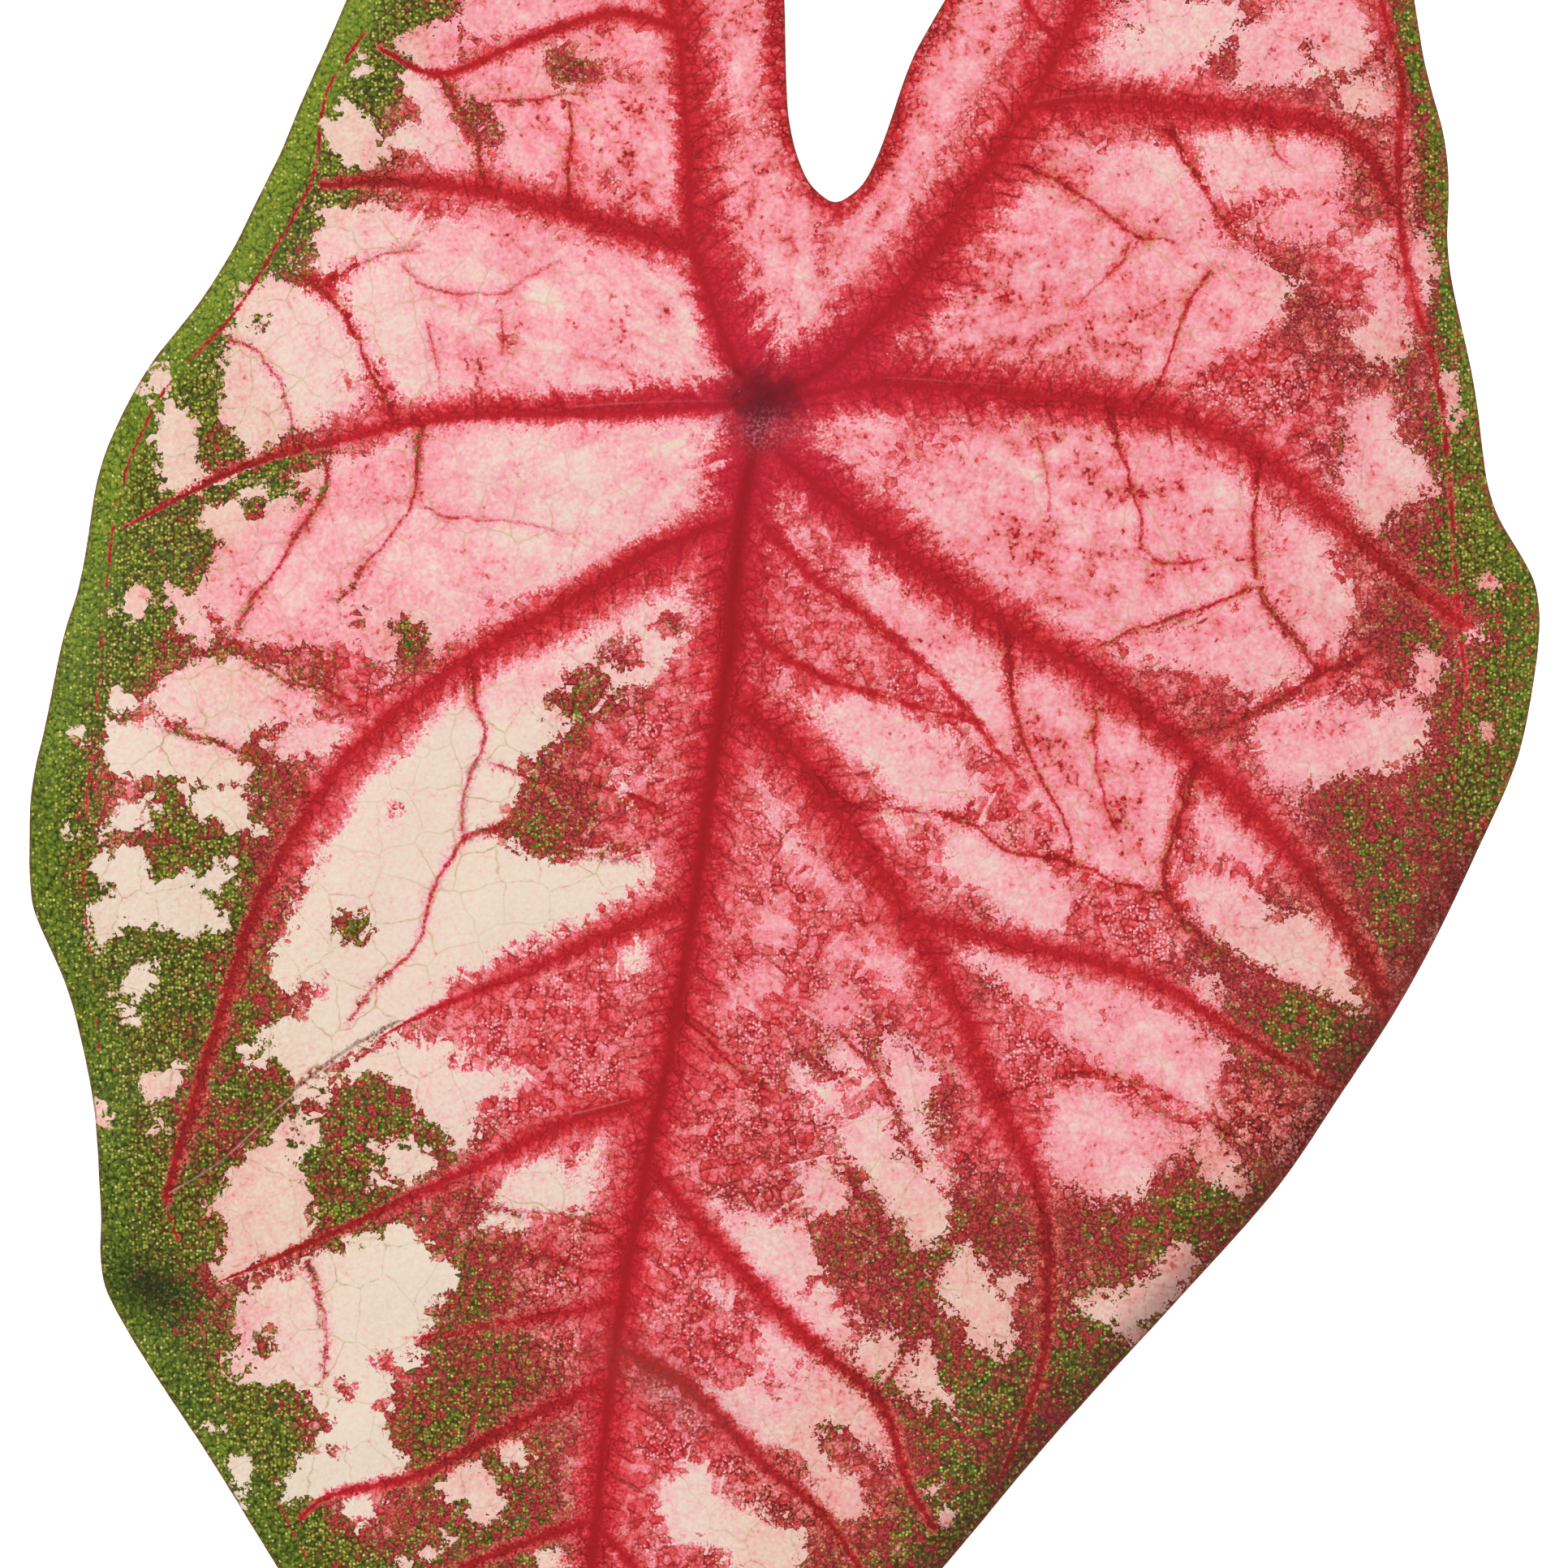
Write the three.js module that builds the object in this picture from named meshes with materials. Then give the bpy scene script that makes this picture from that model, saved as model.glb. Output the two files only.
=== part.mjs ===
// A caladium leaf, picked and laid upper side up on a flat surface. Millimetres, +Z up.
// The back lobes point towards +Y and the tip towards -Y. Places in plan are measured from the hub,
// the point inside the blade where the main ribs meet over the leaf stalk.

import * as THREE from 'three';

// The blade's thickness and the way it lies: high at the hub, and down to the surface round its margin.
const LAMINA = 0.8;             // thickness of the blade between its ribs
const HUB_LIFT = 18;            // height of the lamina's underside at the hub
const SIDE_DROOP = 0.0017;      // fall to either side, per square millimetre
const TIP_DROOP = 0.00045;      // fall towards the tip
const LOBE_DROOP = 0.00215;     // fall towards the ends of the lobes
const PUCKER = 1.5;             // rise of the lamina between two ribs
const PUCKER_REACH = 9;         // distance from a rib at which most of that rise is reached
const RIB_GROOVE = 0.3;         // depth of the groove on the upper side over the strongest rib
const REST_BLEND = 0.5;         // height over which the underside levels out on the surface

// The ribs on the underside.
const RIB_TAPER = 0.72;         // share of its width and depth that a rib loses from root to end
const FLANK_WIDTH = 1.6;        // a rib this wide or more is shaped by a row of points on each flank
const FLANK_OFFSET = 0.9;       // least distance of a flank's row from the rib's middle

// The hub, a flat boss under the blade that the stalk grows out of.
const HUB_RADIUS = 4.5;
const HUB_DEPTH = 2.8;
const HUB_SLOPE = 3;            // reach of the slope from the boss out to the ribs
const HUB_SIDES = 12;
const ROUND_OFF = 1e-6;         // slack in telling which points stand on the boss

// The leaf stalk, cut short and bent back under the blade towards the notch between the lobes.
const STALK_RADIUS = 2.8;
const STALK_COLLAR = 3.5;       // radius where it joins the boss
const STALK_DROP = 4.8;         // straight length below the boss
const STALK_BEND = 7.2;         // radius of the bend
const STALK_RUN = 9.5;          // straight length after the bend
const STALK_SIDES = 16;
const STALK_BEND_STEPS = 8;
const STALK_RUN_STEPS = 3;

// Spacing of the points that shape the blade.
const MARGIN_STEP = 4.4;
const RIM_INSET = 3.1;          // first row of points inside the margin
const RIB_STEP = 5.4;
const FIELD_STEP = 6.3;         // points between the ribs
const ROUTE_STEP = 2;           // spacing at which distances to a rib are measured

// Least distances that each kind of point keeps from the points before it, and from the margin's points.
const HUB_CLEAR = { points: 1, margin: 2 };
const RIB_CLEAR = { points: 1.3, margin: 2.2 };
const FLANK_CLEAR = { points: 0.85, margin: 2.4 };
const RIM_CLEAR = { points: 2.1, margin: 2.6 };
const FIELD_CLEAR = { points: 3.5, margin: 4 };

// The margin, anticlockwise seen from above: from the bottom of the notch round the left lobe to the tip,
// and from the tip round the right lobe back to the notch.
const LEFT_MARGIN = [
  [8.8, 23.9], [6.5, 25.2], [5, 28], [3.4, 33], [2.9, 40], [2.7, 50], [2, 58], [0.5, 67], [-2.5, 76],
  [-7.5, 84], [-14, 89.5], [-20.5, 91.5], [-27, 90], [-33, 85], [-37.5, 78], [-42, 70], [-46.2, 61],
  [-51, 50], [-54.2, 42.5], [-56.8, 37], [-59.5, 30.5], [-62.3, 25.2], [-65.8, 18], [-70, 11.5],
  [-75, 5.5], [-79.2, -1.5], [-82, -8], [-83.2, -15], [-84.3, -22], [-86.2, -28], [-88.5, -40],
  [-90, -46.5], [-90.3, -54], [-90.1, -62], [-88, -67], [-86, -72], [-84, -80], [-82.4, -88],
  [-81.8, -97], [-81.7, -103], [-82.3, -106.5], [-79.5, -112.8], [-75.5, -119], [-69, -128.5],
  [-62.5, -139], [-54, -153.5], [-42, -174.5], [-36.5, -184], [-31.5, -192.5], [-27.2, -199],
];
const RIGHT_MARGIN = [
  [-27.2, -199], [-19, -189], [-11.5, -180], [-3.5, -171], [5.5, -161], [14, -152], [22, -143.2],
  [33.5, -129.5], [51, -110.3], [63.5, -96], [71, -85], [77.5, -75.5], [82.5, -67], [88.5, -54.5],
  [93, -44], [94.6, -36], [95.7, -26], [95.3, -22], [92, -16], [89.8, -12], [89, -6], [87.8, 3],
  [86.3, 9], [84.5, 16.5], [84.1, 20], [84.4, 28], [83.6, 34.5], [81.8, 41], [80.4, 50], [78.2, 63],
  [76, 71], [72.8, 79], [68.2, 86], [62.5, 90.5], [56, 91.5], [49.5, 89.5], [43.5, 84], [38, 76],
  [33, 68], [27.5, 59], [22.5, 50], [18, 42], [16.3, 37], [14.3, 31], [11.5, 25.5], [8.8, 23.9],
];

// Waves of the margin: place, reach, and rise above or fall below the even droop.
const MARGIN_WAVES = [
  [-84, -12, 15, -3], [-90, -52, 17, 4.5], [-86, -76, 12, -4.3], [-81, -95, 9, 2.2], [-80, -110, 9, -2.8],
  [-66, -132, 14, 2.6], [-46, -167, 14, -1.4], [-27, -197, 14, -1.4], [10, -157, 16, 1.8],
  [44, -118, 17, -3.5], [66, -92, 13, 1.6], [85, -62, 15, -5.2], [95, -30, 13, 4.2], [88, -2, 14, -3.4],
  [84, 26, 13, 3.6], [80, 54, 14, 0.8], [77, 66, 17, 2.2], [58, 88, 19, 3.5], [-22, 91, 14, -1.8],
  [-52, 46, 13, 3.2], [-62, 24, 12, -2], [-73, 7, 11, 1.6], [3, 44, 10, -1.8], [17, 40, 10, -1.8],
  [30, 64, 11, 1.6], [0, 68, 11, 1.6],
];

// The ribs, each from its root to its end: width and depth at the root, and the route in plan.
const MIDRIB = rib(4.2, 2.6, [
  [0, 0], [-1.2, -6], [-2.7, -14], [-3.4, -22], [-4, -30], [-6.2, -45], [-8.2, -60], [-10.8, -76],
  [-14, -92], [-17, -108], [-19.2, -124], [-20.8, -140], [-22.8, -158], [-25.2, -182], [-26.4, -193],
]);
const LOBE_RIBS = [
  rib(3.6, 2.3, [
    [0, 0], [-3.5, 5], [-5.5, 10], [-7.2, 15], [-8.5, 19], [-9, 25], [-9.2, 32], [-9.7, 39], [-10.4, 45],
    [-13, 54], [-15.5, 60], [-18.5, 68], [-20, 76], [-20.5, 83],
  ]),
  rib(3.6, 2.3, [
    [0, 0], [6, 3], [10, 6], [13.5, 9.5], [17, 13], [20.5, 18], [23.5, 23], [29.5, 31.5], [34, 39],
    [38.5, 48], [41, 54], [44.5, 62], [48.5, 70], [52, 78], [53.5, 84],
  ]),
];
const LEFT_RIBS = [
  rib(2.6, 1.6, [[0, 0], [-9, -0.7], [-19, -1.3], [-38, -1.8], [-49, -4], [-64, -8], [-78.5, -15]]),
  rib(2.5, 1.5, [
    [-3.2, -14], [-14, -18.5], [-24, -24.5], [-34, -30], [-44, -37], [-51, -43.5], [-56.5, -51], [-62, -61],
    [-65.5, -71], [-69, -82], [-73.7, -97.5],
  ]),
  rib(2.3, 1.4, [
    [-8.2, -60.5], [-19, -65], [-29, -69.5], [-43, -75.5], [-52, -81], [-60, -87.5], [-67, -94], [-73.5, -98],
  ]),
  rib(2.2, 1.3, [[-13.5, -85], [-24, -88], [-34, -93], [-49, -100], [-59, -104.5], [-69.5, -109]]),
  rib(1.4, 0.9, [[-17.5, -110], [-30, -112.5], [-44, -115]]),
  rib(1.9, 1.1, [[-19.5, -120], [-32, -126], [-42, -131.5], [-54, -134.5], [-57, -137]]),
  rib(1.7, 1, [[-20.5, -137], [-32, -141], [-44, -147], [-49, -153]]),
  rib(1.4, 0.8, [[-21.2, -146], [-34, -154], [-42, -166]]),
  rib(1.2, 0.7, [[-22.8, -158], [-33, -167], [-36.5, -173]]),
];
const RIGHT_RIBS = [
  rib(2.6, 1.6, [
    [0, 0], [6, 1], [14, 2.2], [28, 1.2], [43, -0.3], [53, -2.5], [62, -7], [70, -14], [78, -21], [86, -27],
  ]),
  rib(2.7, 1.7, [
    [-1, -3], [4, -8], [16, -17.5], [31, -28], [41, -33.5], [50, -40.5], [60, -50], [68.5, -59.5],
    [73, -66.5], [76.5, -73.5],
  ]),
  rib(2.6, 1.6, [
    [-4.7, -36], [3, -42], [9, -50], [18, -63], [23.5, -73], [28.5, -85], [34, -97.5], [35, -110],
    [34.3, -118], [29, -132.5],
  ]),
  rib(2.2, 1.3, [[-14, -93], [-4, -105], [7, -116], [14.5, -122.5], [18, -133], [21, -138]]),
  rib(1.9, 1.1, [[-17, -116], [-10, -120], [0, -130], [7, -136], [12, -143]]),
  rib(1.7, 1, [[-20.2, -138], [-14, -145], [-4, -158]]),
  rib(1.4, 0.8, [[-22, -152], [-16, -158], [-7, -169]]),
  rib(1.2, 0.7, [[-23.5, -165], [-15, -176]]),
  rib(1.8, 1, [[18, -63], [30, -66], [46, -70], [58, -77], [70, -84]]),
  rib(1.3, 0.8, [[-2.4, -12], [5, -20.5], [16, -29], [26, -39], [31, -46]]),
];
const LOBE_SIDE_RIBS = [
  rib(2.2, 1.3, [[-8.5, 19], [-17, 21], [-30, 25], [-44, 27], [-54, 26.8]]),
  rib(1.7, 1, [[-10.6, 46], [-18, 47.8], [-29, 44.5], [-40, 40.3], [-47, 43.5]]),
  rib(1.4, 0.9, [[-12.5, 52], [-28, 57.5], [-41, 60]]),
  rib(1.2, 0.7, [[-18, 67], [-29.5, 78]]),
  rib(1.2, 0.7, [[-14.5, 58], [-8, 63], [-4, 70]]),
  rib(2.2, 1.3, [[32, 36], [37, 37], [54, 36.4], [66, 35.2], [73, 32.5], [77.2, 25]]),
  rib(1.6, 1, [[40.2, 52], [50, 54.5], [60, 56], [74, 55]]),
  rib(1.3, 0.8, [[46.5, 66], [54, 70], [68, 74]]),
  rib(1.2, 0.7, [[36.4, 44], [32, 50], [31, 56]]),
];
// The thin ribs that run just inside the margin and collect the ends of the others.
const RIM_RIBS = [
  rib(1.3, 0.7, [
    [-48.5, 46], [-53.5, 38], [-55.2, 28], [-59.5, 20], [-65, 11], [-74, 1], [-79, -10], [-81.2, -26],
    [-82, -38], [-83.5, -55], [-82.8, -71], [-82, -80],
  ]),
  rib(1.3, 0.7, [[-73.5, -99], [-70, -109], [-68, -120], [-62, -131], [-55.5, -143.2]]),
  rib(1.3, 0.7, [[76, 50], [78.7, 40], [78, 30], [79, 17], [83.2, 3], [84.7, -11], [85.5, -26], [87.8, -44]]),
];
// The strongest veins of the raised net between the ribs.
const NET_ROUTES = [
  [[-60, 17], [-54, 13.5], [-49.5, 8], [-45, -1.5]],
  [[-39.5, 40], [-37, 36], [-34, 26.5]],
  [[-34, 37], [-24, 37], [-23.5, 23.5]],
  [[-66, 8], [-59.5, 2.5], [-57, -4]],
  [[-41.5, -2.5], [-45, -15], [-51, -23.5]],
  [[-53.5, -7], [-56, -15], [-62, -23.5], [-65.7, -30], [-58, -34], [-50, -37]],
  [[-75, -38.5], [-63, -43.5], [-56, -48]],
  [[-35.2, -33], [-34.3, -41], [-36.5, -52.5], [-42, -65], [-51, -76]],
  [[49.5, 34.5], [54, 26], [59, 20.5]],
  [[32, 29], [41, 24], [50, 20]],
  [[56, 17], [51.5, 11], [46.5, 0]],
  [[42.5, -0.5], [46.5, -18], [55, -19]],
  [[60.5, -7], [60.5, -18], [68, -33], [80, -30]],
  [[60.5, -22.5], [51, -26], [41, -29.5]],
  [[30, -28], [31, -38], [37.5, -55.5]],
  [[6, -45.5], [19, -50], [37, -56], [49.5, -60]],
  [[53.5, -44], [50, -54], [51.5, -63], [66, -71.5]],
  [[9.5, -77], [16, -86], [20.5, -109]],
  [[24, -100], [18, -114], [14, -122]],
  [[-11, -74.5], [-4, -81], [1, -84]],
];
const NET_RIBS = NET_ROUTES.map((route) => rib(1.4, 0.7, route));
const RIBS = [
  MIDRIB, ...LOBE_RIBS, ...LEFT_RIBS, ...RIGHT_RIBS, ...LOBE_SIDE_RIBS, ...RIM_RIBS, ...NET_RIBS,
];

function rib(width, depth, route) {
  const curve = smoothCurve(route);
  const samples = curve.getSpacedPoints(Math.ceil(curve.getLength() / ROUTE_STEP));
  return { width, depth, curve, samples };
}

function smoothCurve(route) {
  return new THREE.CatmullRomCurve3(route.map(([x, y]) => new THREE.Vector3(x, y, 0)));
}

function evenPoints(curve, step) {
  return curve.getSpacedPoints(Math.round(curve.getLength() / step)).map((point) => [point.x, point.y]);
}

// Distance from a place to a rib, and how far along the rib its nearest point is, from 0 to 1.
function nearestOnRib({ samples }, x, y) {
  let distance = Infinity;
  let along = 0;
  for (let i = 0; i < samples.length - 1; i += 1) {
    const start = samples[i];
    const runX = samples[i + 1].x - start.x;
    const runY = samples[i + 1].y - start.y;
    const share = ((x - start.x) * runX + (y - start.y) * runY) / (runX * runX + runY * runY);
    const held = THREE.MathUtils.clamp(share, 0, 1);
    const gap = Math.hypot(x - start.x - held * runX, y - start.y - held * runY);
    if (gap < distance) {
      distance = gap;
      along = (i + held) / (samples.length - 1);
    }
  }
  return { distance, along };
}

// How deep the ribs and the boss reach below the lamina at a place, and how far the nearest rib is.
function ribRelief(x, y) {
  let depth = 0;
  let nearest = Infinity;
  for (const one of RIBS) {
    const { distance, along } = nearestOnRib(one, x, y);
    const left = 1 - RIB_TAPER * along;
    const across = distance / (0.5 * one.width * left);
    depth = Math.max(depth, one.depth * left * Math.exp(-across * across));
    nearest = Math.min(nearest, distance);
  }
  const outOfHub = Math.max(0, Math.hypot(x, y) - HUB_RADIUS) / HUB_SLOPE;
  depth = Math.max(depth, HUB_DEPTH * Math.exp(-outOfHub * outOfHub));
  return { depth, nearest };
}

// Height of the lamina's underside, before it meets the surface that the leaf lies on.
function laminaHeight(x, y, nearestRib) {
  const lengthwise = y > 0 ? LOBE_DROOP : TIP_DROOP;
  let height = HUB_LIFT - SIDE_DROOP * x * x - lengthwise * y * y;
  const fromRib = nearestRib / PUCKER_REACH;
  height += PUCKER * (1 - Math.exp(-fromRib * fromRib));
  for (const [waveX, waveY, reach, rise] of MARGIN_WAVES) {
    const away = Math.hypot(x - waveX, y - waveY) / reach;
    height += rise * Math.exp(-away * away);
  }
  return height;
}

// Keeps a height at or above the surface, with a soft start.
function rest(height) {
  if (height >= REST_BLEND) return height;
  if (height <= -REST_BLEND) return 0;
  return (height + REST_BLEND) ** 2 / (4 * REST_BLEND);
}

// The heights of the upper side and the underside of the blade at a place.
function bladeHeights(x, y) {
  const { depth, nearest } = ribRelief(x, y);
  const lamina = laminaHeight(x, y, nearest);
  if (Math.hypot(x, y) < HUB_RADIUS + ROUND_OFF) {
    return { upper: HUB_LIFT + LAMINA - RIB_GROOVE, under: HUB_LIFT - HUB_DEPTH };
  }
  const groove = RIB_GROOVE * depth / MIDRIB.depth;
  return { upper: rest(lamina) + LAMINA - groove, under: rest(lamina - depth) };
}

function isInside(outline, x, y) {
  let inside = false;
  for (let i = 0, j = outline.length - 1; i < outline.length; j = i, i += 1) {
    const [ax, ay] = outline[i];
    const [bx, by] = outline[j];
    if ((ay > y) !== (by > y) && x < ax + (bx - ax) * (y - ay) / (by - ay)) inside = !inside;
  }
  return inside;
}

// Adds points that lie inside the margin and keep a least distance from those already there.
function addPoints(points, outline, extra, clear) {
  for (const [x, y] of extra) {
    const crowded = points.some(([px, py]) => Math.hypot(px - x, py - y) < clear.points);
    const atMargin = outline.some(([px, py]) => Math.hypot(px - x, py - y) < clear.margin);
    if (!crowded && !atMargin && isInside(outline, x, y)) points.push([x, y]);
  }
}

function hubPoints() {
  const ring = [[0, 0]];
  for (let i = 0; i < HUB_SIDES; i += 1) {
    const angle = 2 * Math.PI * i / HUB_SIDES;
    ring.push([HUB_RADIUS * Math.cos(angle), HUB_RADIUS * Math.sin(angle)]);
  }
  return ring;
}

// A row of points along a rib, moved sideways by a share of its width.
function ribRow({ curve, width }, side) {
  const steps = Math.max(2, Math.round(curve.getLength() / RIB_STEP));
  const row = [];
  for (let i = 0; i <= steps; i += 1) {
    const along = i / steps;
    const point = curve.getPointAt(along);
    const way = curve.getTangentAt(along);
    const offset = side * Math.max(FLANK_OFFSET, 0.5 * width * (1 - RIB_TAPER * along));
    row.push([point.x - way.y * offset, point.y + way.x * offset]);
  }
  return row;
}

function rimRow(outline) {
  return outline.map(([x, y], i) => {
    const [beforeX, beforeY] = outline[(i + outline.length - 1) % outline.length];
    const [afterX, afterY] = outline[(i + 1) % outline.length];
    const length = Math.hypot(afterX - beforeX, afterY - beforeY);
    return [x - RIM_INSET * (afterY - beforeY) / length, y + RIM_INSET * (afterX - beforeX) / length];
  });
}

// Points at the corners of even triangles, over the whole box of the outline.
function fieldPoints(outline) {
  const points = [];
  const rowStep = FIELD_STEP * Math.sqrt(3) / 2;
  const across = outline.map(([x]) => x);
  const lengthwise = outline.map(([, y]) => y);
  const rows = Math.ceil((Math.max(...lengthwise) - Math.min(...lengthwise)) / rowStep);
  for (let row = 0; row <= rows; row += 1) {
    const start = Math.min(...across) + (row % 2) * FIELD_STEP / 2;
    for (let x = start; x < Math.max(...across); x += FIELD_STEP) {
      points.push([x, Math.min(...lengthwise) + row * rowStep]);
    }
  }
  return points;
}

function planPoints(outline) {
  const points = [...outline];
  addPoints(points, outline, hubPoints(), HUB_CLEAR);
  for (const one of RIBS) addPoints(points, outline, ribRow(one, 0), RIB_CLEAR);
  for (const one of RIBS.filter(({ width }) => width >= FLANK_WIDTH)) {
    addPoints(points, outline, ribRow(one, 1), FLANK_CLEAR);
    addPoints(points, outline, ribRow(one, -1), FLANK_CLEAR);
  }
  addPoints(points, outline, rimRow(outline), RIM_CLEAR);
  addPoints(points, outline, fieldPoints(outline), FIELD_CLEAR);
  return points;
}

// Joins points in plan into triangles with no point inside another's circle, by adding them one by one.
function triangulate(points) {
  const far = 1e5;
  const nudge = 1e-4;
  const sites = points.map(([x, y], i) => [x + nudge * Math.sin(12.9 * i), y + nudge * Math.cos(7.3 * i)]);
  sites.push([-far, -far], [far, -far], [0, far]);

  const withCircle = (a, b, c) => {
    const [ax, ay] = sites[a];
    const bx = sites[b][0] - ax;
    const by = sites[b][1] - ay;
    const cx = sites[c][0] - ax;
    const cy = sites[c][1] - ay;
    const turn = 2 * (bx * cy - by * cx);
    const ux = (cy * (bx * bx + by * by) - by * (cx * cx + cy * cy)) / turn;
    const uy = (bx * (cx * cx + cy * cy) - cx * (bx * bx + by * by)) / turn;
    return { corners: [a, b, c], x: ax + ux, y: ay + uy, square: ux * ux + uy * uy };
  };

  let triangles = [withCircle(points.length, points.length + 1, points.length + 2)];
  for (let i = 0; i < points.length; i += 1) {
    const [x, y] = sites[i];
    const open = new Map();
    triangles = triangles.filter((one) => {
      if ((x - one.x) ** 2 + (y - one.y) ** 2 > one.square) return true;
      one.corners.forEach((a, k) => {
        const b = one.corners[(k + 1) % 3];
        if (!open.delete(`${b},${a}`)) open.set(`${a},${b}`, [a, b]);
      });
      return false;
    });
    for (const [a, b] of open.values()) triangles.push(withCircle(a, b, i));
  }
  return triangles.map(({ corners }) => corners).filter((corners) => corners.every((a) => a < points.length));
}

function makeBlade() {
  const leftCurve = smoothCurve(LEFT_MARGIN);
  const rightCurve = smoothCurve(RIGHT_MARGIN);
  const outline = [
    ...evenPoints(leftCurve, MARGIN_STEP).slice(0, -1),
    ...evenPoints(rightCurve, MARGIN_STEP).slice(0, -1),
  ];
  const points = planPoints(outline);
  const count = points.length;
  const faces = triangulate(points).filter(([a, b, c]) => {
    const x = (points[a][0] + points[b][0] + points[c][0]) / 3;
    const y = (points[a][1] + points[b][1] + points[c][1]) / 3;
    return isInside(outline, x, y);
  });

  const positions = [];
  const heights = points.map(([x, y]) => bladeHeights(x, y));
  points.forEach(([x, y], i) => positions.push(x, y, heights[i].upper));
  points.forEach(([x, y], i) => positions.push(x, y, heights[i].under));
  const indices = [];
  for (const [a, b, c] of faces) {
    indices.push(a, b, c);
    indices.push(count + a, count + c, count + b);
  }
  for (let a = 0; a < outline.length; a += 1) {
    const b = (a + 1) % outline.length;
    indices.push(a, count + a, count + b);
    indices.push(a, count + b, b);
  }
  const geometry = new THREE.BufferGeometry();
  geometry.setAttribute('position', new THREE.Float32BufferAttribute(positions, 3));
  geometry.setIndex(indices);
  geometry.computeVertexNormals();
  return geometry;
}

// The middle line of the stalk: points with the radius there and the direction of travel.
function stalkStations() {
  const top = HUB_LIFT - HUB_DEPTH;
  const bendTop = top - STALK_DROP;
  const stations = [
    { y: 0, z: top, radius: STALK_COLLAR, turn: 0 },
    { y: 0, z: bendTop, radius: STALK_RADIUS, turn: 0 },
  ];
  for (let i = 1; i <= STALK_BEND_STEPS; i += 1) {
    const turn = 0.5 * Math.PI * i / STALK_BEND_STEPS;
    stations.push({
      y: STALK_BEND * (1 - Math.cos(turn)),
      z: bendTop - STALK_BEND * Math.sin(turn),
      radius: STALK_RADIUS,
      turn,
    });
  }
  for (let i = 1; i <= STALK_RUN_STEPS; i += 1) {
    const run = STALK_RUN * i / STALK_RUN_STEPS;
    stations.push({ y: STALK_BEND + run, z: bendTop - STALK_BEND, radius: STALK_RADIUS, turn: Math.PI / 2 });
  }
  return stations;
}

function makeStalk() {
  const stations = stalkStations();
  const positions = [];
  for (const { y, z, radius, turn } of stations) {
    for (let i = 0; i < STALK_SIDES; i += 1) {
      const angle = 2 * Math.PI * i / STALK_SIDES;
      const across = radius * Math.cos(angle);
      const out = radius * Math.sin(angle);
      positions.push(across, y + out * Math.cos(turn), z + out * Math.sin(turn));
    }
  }
  const first = positions.length / 3;
  const last = first + 1;
  positions.push(0, stations[0].y, stations[0].z);
  positions.push(0, stations.at(-1).y, stations.at(-1).z);

  const indices = [];
  const endRing = (stations.length - 1) * STALK_SIDES;
  for (let i = 0; i < STALK_SIDES; i += 1) {
    const next = (i + 1) % STALK_SIDES;
    indices.push(first, i, next);
    indices.push(last, endRing + next, endRing + i);
    for (let ring = 0; ring < endRing; ring += STALK_SIDES) {
      indices.push(ring + i, ring + STALK_SIDES + i, ring + next);
      indices.push(ring + next, ring + STALK_SIDES + i, ring + STALK_SIDES + next);
    }
  }
  const geometry = new THREE.BufferGeometry();
  geometry.setAttribute('position', new THREE.Float32BufferAttribute(positions, 3));
  geometry.setIndex(indices);
  geometry.computeVertexNormals();
  return geometry;
}

function bladeMaterial() {
  return new THREE.MeshStandardMaterial({ color: 0xe0808c, roughness: 0.55, metalness: 0 });
}

function stalkMaterial() {
  return new THREE.MeshStandardMaterial({ color: 0x7d3b3a, roughness: 0.5, metalness: 0 });
}

const blade = new THREE.Mesh(makeBlade(), bladeMaterial());
blade.name = 'blade';

const petiole = new THREE.Mesh(makeStalk(), stalkMaterial());
petiole.name = 'petiole';

// The whole leaf stands with the middle of its box over the origin.
const leaf = new THREE.Group();
leaf.add(blade, petiole);
blade.geometry.computeBoundingBox();
const middle = blade.geometry.boundingBox.getCenter(new THREE.Vector3());
leaf.position.set(-middle.x, -middle.y, 0);

export default leaf;
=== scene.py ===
import math

import bpy
import numpy as np
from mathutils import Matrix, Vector
from mathutils.kdtree import KDTree


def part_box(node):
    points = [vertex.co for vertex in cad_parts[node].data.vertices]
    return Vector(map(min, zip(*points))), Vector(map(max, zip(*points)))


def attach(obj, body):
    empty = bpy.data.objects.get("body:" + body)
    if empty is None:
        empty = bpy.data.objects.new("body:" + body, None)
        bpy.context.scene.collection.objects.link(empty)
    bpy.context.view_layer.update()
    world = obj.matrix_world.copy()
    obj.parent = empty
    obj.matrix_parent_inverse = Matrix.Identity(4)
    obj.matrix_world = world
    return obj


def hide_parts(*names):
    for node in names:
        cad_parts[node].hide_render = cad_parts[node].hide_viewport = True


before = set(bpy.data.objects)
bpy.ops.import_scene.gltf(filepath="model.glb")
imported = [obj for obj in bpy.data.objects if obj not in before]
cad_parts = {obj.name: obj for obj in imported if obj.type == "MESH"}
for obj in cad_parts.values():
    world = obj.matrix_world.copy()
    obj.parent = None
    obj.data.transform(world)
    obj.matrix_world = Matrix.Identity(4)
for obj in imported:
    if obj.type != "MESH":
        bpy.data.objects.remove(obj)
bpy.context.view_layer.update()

# ---------------------------------------------------------------------------------------------------
# Camera. The leaf lies on its back, and a long lens looks straight down on its upper side from a metre
# and a half above, close enough that the ends of the lobes and the tip run out of view.

MM = 0.001
VIEW_WIDTH = 192.4 * MM
VIEW_MIDDLE = Vector((-0.1, 7.15, 11)) * MM
CAMERA_RISE = 1.5
SENSOR_WIDTH = 36

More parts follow.
